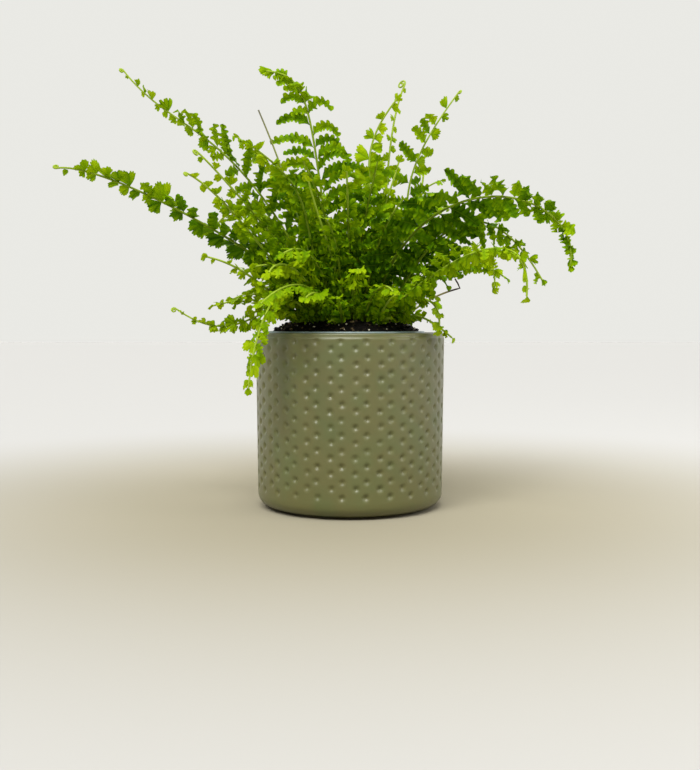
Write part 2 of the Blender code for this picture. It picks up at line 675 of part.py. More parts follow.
def fern(stems, pots):
    """Every frond as one solid, each grown clear of the pots, of all stems and of the fronds before it."""
    bodies = []
    for pot in pots:
        points = [vert.co.copy() for vert in pot.data.vertices]
        bodies.append((points, [tuple(face.vertices) for face in pot.data.polygons]))
    tubes = [[tube_piece(stem, k) for k in range(len(stem.points) - 1)] for stem in stems]
    for place, stem in enumerate(stems):
        others = [piece for pieces in tubes[:place] + tubes[place + 1 :] for piece in pieces]
        bm = frond_mesh(stem, gathered(bodies + others))
        if not stem.frond.leaflet:
            object_from(bm, stem.frond.name, "dry_stem" if stem.frond.name == DRY_TWIG.name else "leaf_mid")
            continue
        bm.verts.index_update()
        faces = [tuple(vert.index for vert in face.verts) for face in bm.faces]
        bodies.append(([vert.co.copy() for vert in bm.verts], faces))
        object_from(bm, f"frond_{stem.frond.name}", leaf_finish(stem.frond.tone))


def build():
    clear_scene()
    stems = planted()
    pots = [cover_pot(), nursery_pot(), potting_soil(stems)]
    fern(stems, pots)


build()
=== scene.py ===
"""Looks of the potted Boston fern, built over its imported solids. Metres, +Z up, -Y towards the viewer."""

import json
import math
import random
from collections import namedtuple

import bmesh
import bpy
from mathutils import Matrix, Vector, noise
from mathutils.kdtree import KDTree


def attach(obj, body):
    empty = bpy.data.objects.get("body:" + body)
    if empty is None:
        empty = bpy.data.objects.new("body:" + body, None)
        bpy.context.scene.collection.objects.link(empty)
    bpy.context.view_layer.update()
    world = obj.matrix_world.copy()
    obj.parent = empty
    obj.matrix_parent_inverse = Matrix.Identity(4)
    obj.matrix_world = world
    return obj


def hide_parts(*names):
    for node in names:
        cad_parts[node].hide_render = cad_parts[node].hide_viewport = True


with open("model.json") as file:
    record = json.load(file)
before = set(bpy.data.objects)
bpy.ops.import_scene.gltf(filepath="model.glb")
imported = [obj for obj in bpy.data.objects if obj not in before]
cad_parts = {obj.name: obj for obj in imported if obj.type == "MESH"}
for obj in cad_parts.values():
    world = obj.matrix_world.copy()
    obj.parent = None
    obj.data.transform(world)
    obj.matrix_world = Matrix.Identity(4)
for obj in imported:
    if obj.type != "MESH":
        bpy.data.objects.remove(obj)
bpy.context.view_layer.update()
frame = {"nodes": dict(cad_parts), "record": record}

# Cover pot
# A thick-walled cylinder of cast stoneware that tapers a little to the foot. Small round pits are pressed
# into its wall in staggered columns, above a plain foot and below a smooth band at the lip. It has a satin
# sage glaze, and the ring that it stands on is bare.
MM = 0.001
WELD = 0.01 * MM
POT_RADIUS = 65 * MM
POT_HEIGHT = 120 * MM
POT_TAPER = 1.2 * MM
POT_INNER = 59 * MM
POT_FLOOR = 6 * MM
FOOT_ROUND = 8 * MM
FOOT_RADIUS = 53 * MM  # of the low foot under the body
FOOT_RISE = 1.7 * MM
EDGE_BREAK = 0.4 * MM
SHOULDER = 117.2 * MM  # where the wall steps in to the band under the lip
SHOULDER_ROUND = 2.4 * MM
BAND_SET_BACK = 0.7 * MM
LIP_ROUND_OUT = 1.3 * MM
LIP_ROUND_IN = 1.2 * MM
INNER_TAPER = 1.2 * MM
FLOOR_ROUND = 4 * MM
WALL_ROWS = 108
POT_SIDES = 400
PIT_COLUMNS = 25
PIT_PITCH = 9.97 * MM
PIT_RADIUS = 2.9 * MM
PIT_DEPTH = 1.6 * MM
PIT_TURN = 0.5  # degrees that a pit may stray from its column
PIT_SHIFT = 0.35 * MM  # and from its row
PIT_SETS = ((3.3, 110.4 * MM, 10), (9.5, 115.0 * MM, 11))  # degrees right of the front, highest row, rows


def turned(name, profile, sides, shift=0.0):
    """A body of revolution round the vertical axis, from points of radius and height."""
    bm = bmesh.new()
    line = [bm.verts.new((radius, 0, z)) for radius, z in profile]
    edges = [bm.edges.new(pair) for pair in zip(line, line[1:])]
    bmesh.ops.spin(
        bm, geom=line + edges, cent=(0, 0, 0), axis=(0, 0, 1), angle=math.tau, steps=sides, use_merge=True
    )
    bmesh.ops.remove_doubles(bm, verts=bm.verts, dist=WELD)
    bmesh.ops.translate(bm, verts=bm.verts, vec=(shift, 0, 0))
    bmesh.ops.recalc_face_normals(bm, faces=bm.faces)
    return placed(name, bm)


def placed(name, bm):
    """The finished bmesh as a smooth-shaded object at the origin."""
    mesh = bpy.data.meshes.new(name)
    bm.to_mesh(mesh)
    bm.free()
    mesh.shade_smooth()
    made = bpy.data.objects.new(name, mesh)
    bpy.context.scene.collection.objects.link(made)
    return made


def arc(centre_radius, centre_z, round_by, start, stop, steps):
    """Points of a round in the profile, its angles in degrees from outwards up."""
    found = []
    for k in range(steps + 1):
        angle = math.radians(start + (stop - start) * k / steps)
        found.append((centre_radius + round_by * math.cos(angle), centre_z + round_by * math.sin(angle)))
    return found


def pot_radius(z):
    return POT_RADIUS - POT_TAPER * (1 - z / POT_HEIGHT)


def pot_profile():
    band = POT_RADIUS - BAND_SET_BACK
    wall_top = SHOULDER - 0.6 * SHOULDER_ROUND
    foot_top = FOOT_ROUND + FOOT_RISE
    points = [(0, 0), (FOOT_RADIUS - EDGE_BREAK, 0), (FOOT_RADIUS, EDGE_BREAK), (FOOT_RADIUS, FOOT_RISE)]
    points += arc(pot_radius(0) - FOOT_ROUND, foot_top, FOOT_ROUND, -90, 0, 8)
    for k in range(1, WALL_ROWS + 1):
        z = foot_top + (wall_top - foot_top) * k / WALL_ROWS
        points.append((pot_radius(z), z))
    points += arc(pot_radius(wall_top) - SHOULDER_ROUND, wall_top, SHOULDER_ROUND, 8, 48, 5)
    points += arc(band - LIP_ROUND_OUT, POT_HEIGHT - LIP_ROUND_OUT, LIP_ROUND_OUT, 0, 90, 5)
    points += arc(POT_INNER + LIP_ROUND_IN, POT_HEIGHT - LIP_ROUND_IN, LIP_ROUND_IN, 90, 180, 4)
    points += [(POT_INNER - INNER_TAPER / 3, POT_HEIGHT * 0.6)]
    points += arc(POT_INNER - INNER_TAPER - FLOOR_ROUND, POT_FLOOR + FLOOR_ROUND, FLOOR_ROUND, 0, -90, 4)
    return points + [(0, POT_FLOOR)]


def tree_of(places):
    """The places in a tree that finds those near a point."""
    tree = KDTree(len(places))
    for index, place in enumerate(places):
        tree.insert(place, index)
    tree.balance()
    return tree


cover_pot = turned("glazed_cover_pot", pot_profile(), POT_SIDES)
wall = [vert for vert in cover_pot.data.vertices if vert.co.xy.length > POT_INNER + 3 * MM]
near_wall = tree_of([vert.co for vert in wall])
pressed = random.Random(3)
for first_angle, top_row, rows in PIT_SETS:
    for row in range(rows):
        for column in range(PIT_COLUMNS):
            astray = pressed.uniform(-PIT_TURN, PIT_TURN)
            around = math.radians(first_angle + 360 * column / PIT_COLUMNS + astray)
            z = top_row - PIT_PITCH * row + pressed.uniform(-PIT_SHIFT, PIT_SHIFT)
            outwards = Vector((math.sin(around), -math.cos(around), 0))
            middle = outwards * pot_radius(z) + Vector((0, 0, z))
            size = PIT_RADIUS * pressed.uniform(0.92, 1.08)
            depth = PIT_DEPTH * pressed.uniform(0.8, 1.1)
            for _, index, away in near_wall.find_range(middle, size):
                wall[index].co -= outwards * (depth * (0.5 + 0.5 * math.cos(math.pi * away / size)))


def new_material(name):
    material = bpy.data.materials.new(name)
    material.use_nodes = True
    return material, material.node_tree.nodes, material.node_tree.links


def place_on(nodes, links, source="Object"):
    """The three coordinates of a place, each on its own."""
    place = nodes.new("ShaderNodeTexCoord")
    apart = nodes.new("ShaderNodeSeparateXYZ")
    links.new(place.outputs[source], apart.inputs[0])
    return apart.outputs


def noise_on(nodes, links, scale, detail):
    """Noise on the piece's own coordinates."""
    place = nodes.new("ShaderNodeTexCoord")
    texture = nodes.new("ShaderNodeTexNoise")
    texture.inputs["Scale"].default_value = scale
    texture.inputs["Detail"].default_value = detail
    links.new(place.outputs["Object"], texture.inputs["Vector"])
    return texture.outputs["Fac"]


def math_on(nodes, links, operation, *values):
    """The outcome of the operation on the values, each a socket or a plain number."""
    worked = nodes.new("ShaderNodeMath")
    worked.operation = operation
    for socket, value in zip(worked.inputs, values):
        if isinstance(value, bpy.types.NodeSocket):
            links.new(value, socket)
        else:
            socket.default_value = value
    return worked.outputs[0]


def ranged_on(nodes, links, value, before, after):
    """The value, held within the first pair of limits and carried over to the second."""
    ranged = nodes.new("ShaderNodeMapRange")
    for limit, number in zip(("From Min", "From Max", "To Min", "To Max"), (*before, *after)):
        ranged.inputs[limit].default_value = number
    links.new(value, ranged.inputs["Value"])
    return ranged.outputs["Result"]


def ramp_on(nodes, links, value, stops):
    """A colour ramp on a value, from pairs of place and colour."""
    ramp = nodes.new("ShaderNodeValToRGB")
    elements = ramp.color_ramp.elements
    while len(elements) < len(stops):
        elements.new(0.5)
    for element, (position, colour) in zip(elements, stops):
        element.position = position
        element.color = (*colour, 1)
    links.new(value, ramp.inputs["Fac"])
    return ramp


def bump_on(nodes, links, height, distance):
    bump = nodes.new("ShaderNodeBump")
    bump.inputs["Distance"].default_value = distance
    links.new(height, bump.inputs["Height"])
    links.new(bump.outputs["Normal"], nodes["Principled BSDF"].inputs["Normal"])


GLAZE_TONES = ((0.3, (0.098, 0.112, 0.031)), (0.5, (0.118, 0.114, 0.033)), (0.7, (0.106, 0.120, 0.035)))
BARE_CLAY = (0.46, 0.40, 0.31, 1)
GLAZE_ROUGHNESS = (0.42, 0.54)

glaze, nodes, links = new_material("sage_satin_glaze")
shader = nodes["Principled BSDF"]
tint = ramp_on(nodes, links, noise_on(nodes, links, 38, 4), GLAZE_TONES)
bare = math_on(nodes, links, "LESS_THAN", place_on(nodes, links)["Z"], EDGE_BREAK)
foot = nodes.new("ShaderNodeMix")
foot.data_type = "RGBA"
foot.inputs["B"].default_value = BARE_CLAY
links.new(bare, foot.inputs["Factor"])
links.new(tint.outputs["Color"], foot.inputs["A"])
links.new(foot.outputs["Result"], shader.inputs["Base Color"])
satin = ranged_on(nodes, links, noise_on(nodes, links, 120, 3), (0, 1), GLAZE_ROUGHNESS)
links.new(satin, shader.inputs["Roughness"])
shader.inputs["Coat Weight"].default_value = 0.4
shader.inputs["Coat Roughness"].default_value = 0.36
bump_on(nodes, links, noise_on(nodes, links, 260, 2), 0.12 * MM)
cover_pot.data.materials.append(glaze)
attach(cover_pot, "root")
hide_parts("cover_pot")

# Nursery pot
# A thin moulded pot of blue-grey plastic with a rolled rim and drainage holes. It stands loose in the cover
# pot, a little left of centre, so that its rim shows just above the glazed lip.
NURSERY_SHIFT = -3 * MM
NURSERY_TOP = 121.0 * MM
NURSERY_FLOOR = POT_FLOOR + 0.3 * MM
NURSERY_FOOT = 42 * MM
NURSERY_NECK = 52.6 * MM  # radius of the wall just under the rim
NURSERY_RIM = 54.6 * MM
NURSERY_WALL = 1.2 * MM
RIM_DEEP = 4 * MM
RIM_ROUND = 0.8 * MM
RIM_HEM = 0.5 * MM
RIM_INNER = 0.7 * MM
DRAIN_HOLES = 4
DRAIN_CIRCLE = 26 * MM
DRAIN_RADIUS = 4 * MM
DRILL_LONG = 8 * MM
NURSERY_SIDES = 144
PLASTIC_TONES = ((0.35, (0.19, 0.25, 0.25)), (0.7, (0.27, 0.33, 0.33)))

nursery_profile = [
    (0, NURSERY_FLOOR),
    (NURSERY_FOOT - EDGE_BREAK, NURSERY_FLOOR),
    (NURSERY_FOOT, NURSERY_FLOOR + EDGE_BREAK),
    (NURSERY_NECK, NURSERY_TOP - RIM_DEEP),
    *arc(NURSERY_RIM - RIM_HEM, NURSERY_TOP - RIM_DEEP + EDGE_BREAK, RIM_HEM, -90, 0, 3),
    *arc(NURSERY_RIM - RIM_ROUND, NURSERY_TOP - RIM_ROUND, RIM_ROUND, 0, 90, 4),
    *arc(NURSERY_NECK, NURSERY_TOP - RIM_INNER, RIM_INNER, 90, 180, 3),
    (NURSERY_FOOT - 1 * MM, NURSERY_FLOOR + NURSERY_WALL + EDGE_BREAK),
    (NURSERY_FOOT - 1 * MM - EDGE_BREAK, NURSERY_FLOOR + NURSERY_WALL),
    (0, NURSERY_FLOOR + NURSERY_WALL),
]
nursery_pot = turned("plastic_nursery_pot", nursery_profile, NURSERY_SIDES, NURSERY_SHIFT)
bm = bmesh.new()
for k in range(DRAIN_HOLES):
    angle = math.tau * (k + 0.5) / DRAIN_HOLES
    x, y = NURSERY_SHIFT + DRAIN_CIRCLE * math.cos(angle), DRAIN_CIRCLE * math.sin(angle)
    bmesh.ops.create_cone(
        bm,
        cap_ends=True,
        segments=24,
        radius1=DRAIN_RADIUS,
        radius2=DRAIN_RADIUS,
        depth=DRILL_LONG,
        matrix=Matrix.Translation((x, y, NURSERY_FLOOR)),
    )
drill = placed("drain_drill", bm)
drained = nursery_pot.modifiers.new("drain_holes", "BOOLEAN")
drained.object = drill
drained.solver = "EXACT"
shown = bpy.data.meshes.new_from_object(nursery_pot.evaluated_get(bpy.context.evaluated_depsgraph_get()))
nursery_pot.modifiers.clear()
nursery_pot.data = shown
bpy.data.objects.remove(drill)


def surface(nodes, links, value, tones, roughness, specular, grain, relief):
    """A plain surface: the tones by the value, over a fine grain of this scale and detail."""
    shader = nodes["Principled BSDF"]
    tint = ramp_on(nodes, links, value, tones)
    links.new(tint.outputs["Color"], shader.inputs["Base Color"])
    shader.inputs["Roughness"].default_value = roughness
    shader.inputs["Specular IOR Level"].default_value = specular
    bump_on(nodes, links, noise_on(nodes, links, *grain), relief)


plastic, nodes, links = new_material("blue_grey_plastic")
scuffs = noise_on(nodes, links, 140, 4)
surface(nodes, links, scuffs, PLASTIC_TONES, roughness=0.42, specular=0.5, grain=(900, 2), relief=0.05 * MM)
nursery_pot.data.materials.append(plastic)
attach(nursery_pot, "root")
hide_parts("nursery_pot")

# Potting soil
# Dark moist peat that fills the nursery pot and rises in a low mound to the crown, its near-black colour
# partly painted shade from the fronds above. Crumbs of peat and bark lie loose on it, with a few
# cream-coloured grains of perlite.
SOIL_EDGE = 119.5 * MM
SOIL_MOUND = 7.5 * MM
SOIL_RADIUS = 51.4 * MM
SOIL_FOOT = 40 * MM
SOIL_BOTTOM = NURSERY_FLOOR + 1.6 * MM
NURSERY_MOUTH = 53 * MM
SOIL_RINGS = 46
SOIL_SIDES = 150
HEAPED = 2.6 * MM
LUMPS = 0.9 * MM
CRUMBS = 420
CRUMB_SIZES = (1.0 * MM, 2.8 * MM)
GRAINS = 120
GRAIN_SIZES = (0.5 * MM, 1.5 * MM)
# The peat's near-black tones are partly its own dark colour and partly painted shade from the fronds above.
PEAT_AND_SHADE_TONES = ((0.40, (0.002, 0.0015, 0.001)), (0.60, (0.006, 0.004, 0.003)), (0.72, (0.110, 0.080, 0.040)))
BARK_TONES = ((0.45, (0.003, 0.0025, 0.002)), (0.56, (0.012, 0.008, 0.004)), (0.66, (0.22, 0.16, 0.08)))
PERLITE_TONES = ((0.3, (0.45, 0.40, 0.27)), (0.7, (0.72, 0.68, 0.52)))


def soil_height(radius):
    share = min(1.0, radius / NURSERY_MOUTH)
    return SOIL_EDGE + SOIL_MOUND * (1 - share * share)


def heaped_height(radius):
    """The looser surface, heaped between the stalks over the solid's plain mound."""
    share = radius / SOIL_RADIUS
    return soil_height(radius) + HEAPED * (1 + share * share) * (1 - share**8)


soil_profile = [(0, SOIL_BOTTOM), (SOIL_FOOT, SOIL_BOTTOM), (SOIL_RADIUS, SOIL_EDGE - 3 * MM)]
for k in range(SOIL_RINGS + 1):
    radius = SOIL_RADIUS * (1 - k / SOIL_RINGS)
    soil_profile.append((radius, heaped_height(radius)))
soil = turned("peat_mound", soil_profile, SOIL_SIDES, NURSERY_SHIFT)
for vert in soil.data.vertices:
    if vert.co.z > SOIL_EDGE - 1 * MM:
        vert.co.z += LUMPS * noise.fractal(vert.co * 170, 0.9, 2.2, 4) - LUMPS / 3


def strewn(name, count, sizes, flat, draw):
    """Loose bits that lie on the mound, each a small lumpy stone-like shape of its own."""
    bm = bmesh.new()
    for _ in range(count):
        size = draw.uniform(*sizes)
        made = bmesh.ops.create_icosphere(bm, subdivisions=1, radius=size / 2)["verts"]
        for vert in made:
            vert.co *= draw.uniform(0.75, 1.2)
        bmesh.ops.scale(bm, verts=made, vec=(draw.uniform(0.8, 1.5), 1, draw.uniform(*flat)))
        spin, lean = draw.uniform(0, math.tau), draw.uniform(-0.5, 0.5)
        turn = Matrix.Rotation(spin, 3, "Z") @ Matrix.Rotation(lean, 3, "X")
        bmesh.ops.rotate(bm, verts=made, cent=(0, 0, 0), matrix=turn)
        around, radius = draw.uniform(0, math.tau), SOIL_RADIUS * 0.97 * math.sqrt(draw.random())
        x, y = NURSERY_SHIFT + radius * math.cos(around), radius * math.sin(around)
        bmesh.ops.translate(bm, verts=made, vec=(x, y, heaped_height(radius) + size * 0.12))
    return placed(name, bm)


crumbs = strewn("peat_crumbs", CRUMBS, CRUMB_SIZES, (0.5, 0.9), random.Random(11))
grains = strewn("perlite_grains", GRAINS, GRAIN_SIZES, (0.6, 1.0), random.Random(12))

peat, nodes, links = new_material("moist_peat")
fibres = noise_on(nodes, links, 420, 6)
surface(nodes, links, fibres, PEAT_AND_SHADE_TONES, roughness=0.9, specular=0.1, grain=(420, 6), relief=0.8 * MM)
bark, nodes, links = new_material("peat_and_bark_crumbs")
each = noise_on(nodes, links, 95, 1)
surface(nodes, links, each, BARK_TONES, roughness=0.85, specular=0.1, grain=(1400, 3), relief=0.2 * MM)
perlite, nodes, links = new_material("cream_perlite")
pores = noise_on(nodes, links, 1500, 3)
surface(nodes, links, pores, PERLITE_TONES, roughness=0.85, specular=0.5, grain=(1500, 3), relief=0.2 * MM)
for piece, material in ((soil, peat), (crumbs, bark), (grains, perlite)):
    piece.data.materials.append(material)
    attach(piece, "root")
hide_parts("potting_soil")

# Fronds
# Each frond is one slim stalk that carries soft pinnae left and right. The pinnae have round lobes cut
# towards the rib, ruffled and cupped. Near the tip, where young fronds are still curled up, they are
# small fans.

# Azimuth (270 towards the viewer), rise, nod and face are in degrees, reach, height, root and leaflet in mm.
# Rise and hold bend the stalk above its foot, nod and hook towards its tip. Taper is how soon the pinnae
# get shorter towards the tip, and tone how light the frond is.
Frond = namedtuple("Frond", "name azimuth reach height root rise nod hold hook face leaflet taper tone")
SEEN_FRONDS = (
    Frond("left_long", 205, 196, 220, 21, 85, -16, 0.16, 0.15, 50, 22, 0.9, 0.3),
    Frond("left_tall", 178, 156, 300, 12, 66, 52, 0.70, 0.28, 50, 26, 1.8, 0.6),
    Frond("left_curl", 209, 111, 235, 14, 85, 35, 0.12, 0.12, 55, 18, 1.5, 0.8),
    Frond("left_second", 218, 127, 218, 24, 40, 18, 0.20, 0.25, 45, 18, 1.4, 0.75),
    Frond("left_short", 222, 118, 167, 32, 32, 8, 0.60, 0.26, 40, 16, 1.2, 0.9),
    Frond("left_low", 172, 125, 137, 27, 44, 35, 0.50, 0.65, 35, 15, 1.2, 0.9),
    Frond("left_skirt", 196, 95, 138, 25, 85, -12, 0.65, 0.60, 30, 15, 0.9, 0.9),
    # left_shade is given a low tone as painted shade, for the shade that it stands in.
    Frond("left_shade", 188, 100, 186, 20, 82, -13, 0.20, 0.15, 45, 20, 0.9, 0.1),
    Frond("rim_droop", 230, 98, 86, 23, 68, -84, 0.80, 0.62, 0, 12, 0.7, 0.8),
    Frond("crown_tall", 188, 57, 296, 6, 80, 0, 0.76, 0.20, 75, 28, 0.6, 0.4),
    Frond("left_behind", 148, 96, 262, 18, 85, 40, 0.44, 0.60, 45, 20, 1.0, 0.65),
    Frond("left_heart", 158, 82, 238, 13, 62, 25, 0.60, 0.50, 50, 20, 1.0, 0.55),
    Frond("mid_left", 232, 67, 228, 10, 76, 40, 0.50, 0.30, 40, 20, 1.1, 0.5),
    Frond("right_bent", 334, 35, 276, 7, 74, 46, 0.62, 0.40, 60, 20, 1.4, 0.8),
    Frond("right_tall", 24, 42, 293, 12, 55, 64, 0.20, 0.28, 55, 14, 1.2, 0.9),
    Frond("right_lean", 4, 75, 285, 15, 62, 53, 0.58, 0.60, 65, 24, 1.1, 0.6),
    Frond("right_mid", 348, 34, 236, 15, 88, 74, 0.80, 0.46, 45, 17, 1.3, 0.7),
    Frond("right_wisp", 34, 64, 242, 18, 68, 92, 0.80, 0.22, 40, 13, 0.9, 1.2),
    Frond("right_long", 328, 158, 161, 16, 76, -100, 0.82, 0.36, 50, 30, 0.8, 0.25),
    Frond("right_second", 338, 133, 154, 24, 64, -60, 0.86, 0.56, 45, 24, 0.9, 0.2),
    Frond("right_third", 312, 153, 142, 26, 45, -95, 0.20, 0.52, 25, 18, 0.9, 0.8),
    Frond("right_far", 356, 99, 150, 22, 68, -95, 0.66, 0.62, 35, 18, 0.8, 0.8),
    Frond("right_hook", 322, 73, 122, 27, 50, -100, 0.75, 0.55, 20, 10, 0.8, 0.9),
    Frond("front_mid", 268, 58, 222, 9, 82, 50, 0.45, 0.30, 0, 18, 1.1, 0.6),
    Frond("front_right", 303, 62, 205, 14, 76, 30, 0.45, 0.30, 15, 20, 1.1, 0.3),
    Frond("front_left", 238, 78, 170, 19, 74, -25, 0.50, 0.40, 0, 18, 0.8, 0.5),
    Frond("front_low_left", 241, 110, 138, 27, 66, -30, 0.45, 0.40, 0, 18, 0.7, 0.6),
    Frond("front_low_mid", 250, 80, 142, 27, 64, -25, 0.40, 0.35, 0, 18, 0.8, 0.45),
    Frond("front_low_right", 290, 78, 146, 26, 66, -30, 0.40, 0.35, 0, 17, 0.8, 0.6),
    Frond("front_star", 274, 70, 160, 20, 74, 0, 0.40, 0.35, 0, 18, 0.8, 0.8),
    Frond("sprout_left", 229, 60, 142, 38, 72, 10, 0.40, 0.35, 10, 13, 0.9, 0.8),
    Frond("sprout_mid", 262, 59, 143, 36, 74, 10, 0.40, 0.35, 0, 13, 0.9, 0.5),
    Frond("sprout_right", 301, 60, 145, 36, 74, 10, 0.40, 0.35, 0, 13, 0.9, 0.9),
    Frond("front_heart", 256, 64, 192, 16, 76, 12, 0.45, 0.35, 0, 20, 0.9, 0.4),
)
Tier = namedtuple("Tier", "name count first step reach height root rise nod leaflet")
TIERS = (
    Tier("far_long", 4, 36, 33, (130, 162), (172, 232), (17, 20), (64, 74), (-45, 5), (21, 26)),
    Tier("far_middle", 5, 20, 31, (74, 104), (196, 240), (11, 15), (68, 78), (0, 35), (18, 22)),
    Tier("far_skirt", 5, 14, 37, (88, 120), (142, 162), (23, 27), (60, 68), (-50, -20), (16, 19)),
    Tier("heart", 5, 60, 74, (30, 48), (196, 236), (4, 9), (80, 87), (40, 65), (16, 20)),
)
SEED = 7
TIER_TURN = 6  # degrees that a frond may stray from its place in the tier
TIER_HOLD = 0.45
TIER_HOOK = 0.35
AZIMUTH_STEP = 3
BURIED = 9 * MM
SOIL_LUMP = 0.7 * MM
CURVE_STEPS = 200
BARE_SHARE = 0.16
PITCH_WIDE = 8.4 * MM
PITCH_NARROW = 6.2 * MM
STALK_ROOT = 0.95 * MM
STALK_TIP = 0.62 * MM
SOLID_TIP = 0.5 * MM
BLADE_HALF = 0.45 * MM  # half the thickness of the solids' leaflets
ON_CORNER = 0.1 * MM  # a point this near a corner of the solid stands for that corner
Stem = namedtuple("Stem", "frond curve points sides ups halves")


def heading(azimuth, slope):
    around, rise = math.radians(azimuth), math.radians(slope)
    return Vector((math.cos(around) * math.cos(rise), math.sin(around) * math.cos(rise), math.sin(rise)))


def stem_curve(frond):
    """Points of the stalk from the soil to its tip: a cubic curve in an upright plane."""
    outwards = heading(frond.azimuth, 0)
    foot = outwards * (frond.root * MM)
    foot.z = soil_height(frond.root * MM) - SOIL_LUMP
    tip = outwards * (frond.reach * MM)
    tip.z = frond.height * MM
    span = (tip - foot).length
    near = foot + heading(frond.azimuth, frond.rise) * (span * frond.hold)
    far = tip - heading(frond.azimuth, frond.nod) * (span * frond.hook)
    points = []
    for k in range(CURVE_STEPS + 1):
        t = k / CURVE_STEPS
        inner = near * (3 * t * (1 - t) ** 2) + far * (3 * t * t * (1 - t))
        points.append(foot * (1 - t) ** 3 + inner + tip * t**3)
    return points


def run_of(points):
    """The length of the line through points."""
    return sum((after - before).length for before, after in zip(points, points[1:]))


def spaced(points, distances):
    """The places at these rising distances along the line through points."""
    found, k, passed = [], 0, 0.0
    for distance in distances:
        while k < len(points) - 2 and passed + (points[k + 1] - points[k]).length < distance:
            passed += (points[k + 1] - points[k]).length
            k += 1
        run = points[k + 1] - points[k]
        found.append(points[k] + run * min(1.0, (distance - passed) / run.length))
    return found


def blade_frame(along, azimuth, face):
    """The blade's upward and sideways directions, turned to the viewer by face degrees."""
    level = Vector((-math.sin(math.radians(azimuth)), math.cos(math.radians(azimuth)), 0))
    up = along.cross(level).normalized() * -1
    viewer = Vector((0, -1, 0))
    viewer = (viewer - along * viewer.dot(along)).normalized()
    turn = math.radians(face)
    up = (up * math.cos(turn) + viewer * math.sin(turn)).normalized()
    return up, along.cross(up).normalized()


def leaflet_share(t, taper):
    """Length of a pinna as a share of the longest, from the first, t = 0, to the tip, t = 1."""
    rising = 0.6 + 0.4 * min(1.0, t / 0.2)
    return rising * (0.22 + 0.78 * (1 - t) ** taper)


def grow_stem(frond):
    """The leafy part's stations, with the blade's directions and the stalk's half width at each."""
    curve = stem_curve(frond)
    length = run_of(curve)
    along = BARE_SHARE * length
    stations = [along]
    while along < length - PITCH_NARROW * 1.4:
        t = (along / length - BARE_SHARE) / (1 - BARE_SHARE)
        along += PITCH_NARROW + (PITCH_WIDE - PITCH_NARROW) * leaflet_share(t, frond.taper)
        stations.append(along)
    stations[-1] = length
    before, *points = spaced(curve, [0.5 * BARE_SHARE * length, *stations])
    sides, ups, halves = [], [], []
    for k in range(len(points)):
        ahead = points[min(k + 1, len(points) - 1)]
        behind = points[k - 1] if k else before
        up, side = blade_frame((ahead - behind).normalized(), frond.azimuth, frond.face)
        ups.append(up)
        sides.append(side)
        halves.append(STALK_ROOT + (SOLID_TIP - STALK_ROOT) * (k + 3) / (len(points) + 2))
    return Stem(frond, curve, points, sides, ups, halves)


def solid_corners(node):
    """The corners of a node's solid, for reading how a frond was set in it."""
    return tree_of([vert.co for vert in frame["nodes"][node].data.vertices])


def set_as_solid(frond, corners):
    """The stem at the azimuth of its solid, which may be turned on a little to clear others."""
    while True:
        stem = grow_stem(frond)
        edge = stem.points[-1] + (stem.sides[-1] + stem.ups[-1]) * stem.halves[-1]
        if corners.find(edge)[2] < ON_CORNER:
            return stem
        frond = frond._replace(azimuth=frond.azimuth + AZIMUTH_STEP)


def all_fronds():
    """The fronds set one by one, then those of the tiers, whose measures are drawn from one seed."""
    found = list(SEEN_FRONDS)
    draw = random.Random(SEED)
    for tier in TIERS:
        for k in range(tier.count):
            azimuth = tier.first + tier.step * k + draw.uniform(-TIER_TURN, TIER_TURN)
            limits = (tier.reach, tier.height, tier.root, tier.rise, tier.nod)
            course = [draw.uniform(*pair) for pair in limits]
            face, leaflet = draw.uniform(-10, 20), draw.uniform(*tier.leaflet)
            taper, tone = draw.uniform(0.8, 1.2), draw.uniform(0, 0.9)
            name = f"{tier.name}_{k + 1}"
            found.append(Frond(name, azimuth, *course, TIER_HOLD, TIER_HOOK, face, leaflet, taper, tone))
    return found


LEAFLET_HALF = 1.8 * MM
LEAFLET_WIDENS = 0.07
LEAFLET_LEAN = 30
LEAFLET_LEAN_TIP = 14
LEAFLET_DROP = 0.18
LIFTS = (0, 14, -14, 28, -28, 42)
SHORTENED = (1.0, 0.82, 0.66, 0.5)
SHORTEST_STRAP = 11 * MM
STRAP_CORNER = (0.80, 0.95)  # where the solid's strap has a corner, in shares of its length and half width
SPRIG_CORNER = (0.92, 1.2)  # and where a shorter leaflet has one
Pinna = namedtuple("Pinna", "root reach across length half")


def pinna_at(stem, k, side, length, lift):
    """Where the pinna between stations k and k + 1 stands and how it points."""
    near = stem.points[k] + stem.sides[k] * (side * stem.halves[k])
    far = stem.points[k + 1] + stem.sides[k + 1] * (side * stem.halves[k + 1])
    along = (far - near).normalized()
    lean = math.radians(LEAFLET_LEAN + LEAFLET_LEAN_TIP * k / (len(stem.points) - 1))
    out = stem.sides[k] * (side * math.cos(lift)) + stem.ups[k] * math.sin(lift)
    reach = (along * math.sin(lean) + out * math.cos(lean)).normalized()
    across = (along - reach * along.dot(reach)).normalized()
    return Pinna((near + far) / 2, reach, across, length, LEAFLET_HALF + LEAFLET_WIDENS * length)


def as_in_solid(stem, k, side, length, tilt, corners):
    """The pinna with the length and lift that its solid was given to stay clear of others, or None."""
    for share in SHORTENED:
        for lift in LIFTS:
            pinna = pinna_at(stem, k, side, length * share, math.radians(tilt + lift))
            out_share, side_share = STRAP_CORNER if pinna.length > SHORTEST_STRAP else SPRIG_CORNER
            corner = pinna.root + pinna.reach * (pinna.length * out_share)
            corner += pinna.across * (pinna.half * side_share)
            corner.z -= pinna.length * LEAFLET_DROP * out_share**2
            if corners.find(corner + stem.ups[k] * BLADE_HALF)[2] < ON_CORNER:
                return pinna
    return None


LOBE_PITCH = 3.4 * MM
TOOTH_PITCH = 1.9 * MM
DOWN = Vector((0, 0, -1))
Habit = namedtuple("Habit", "width cut bushy fluff longer tip upper arch droop fan slump back close")
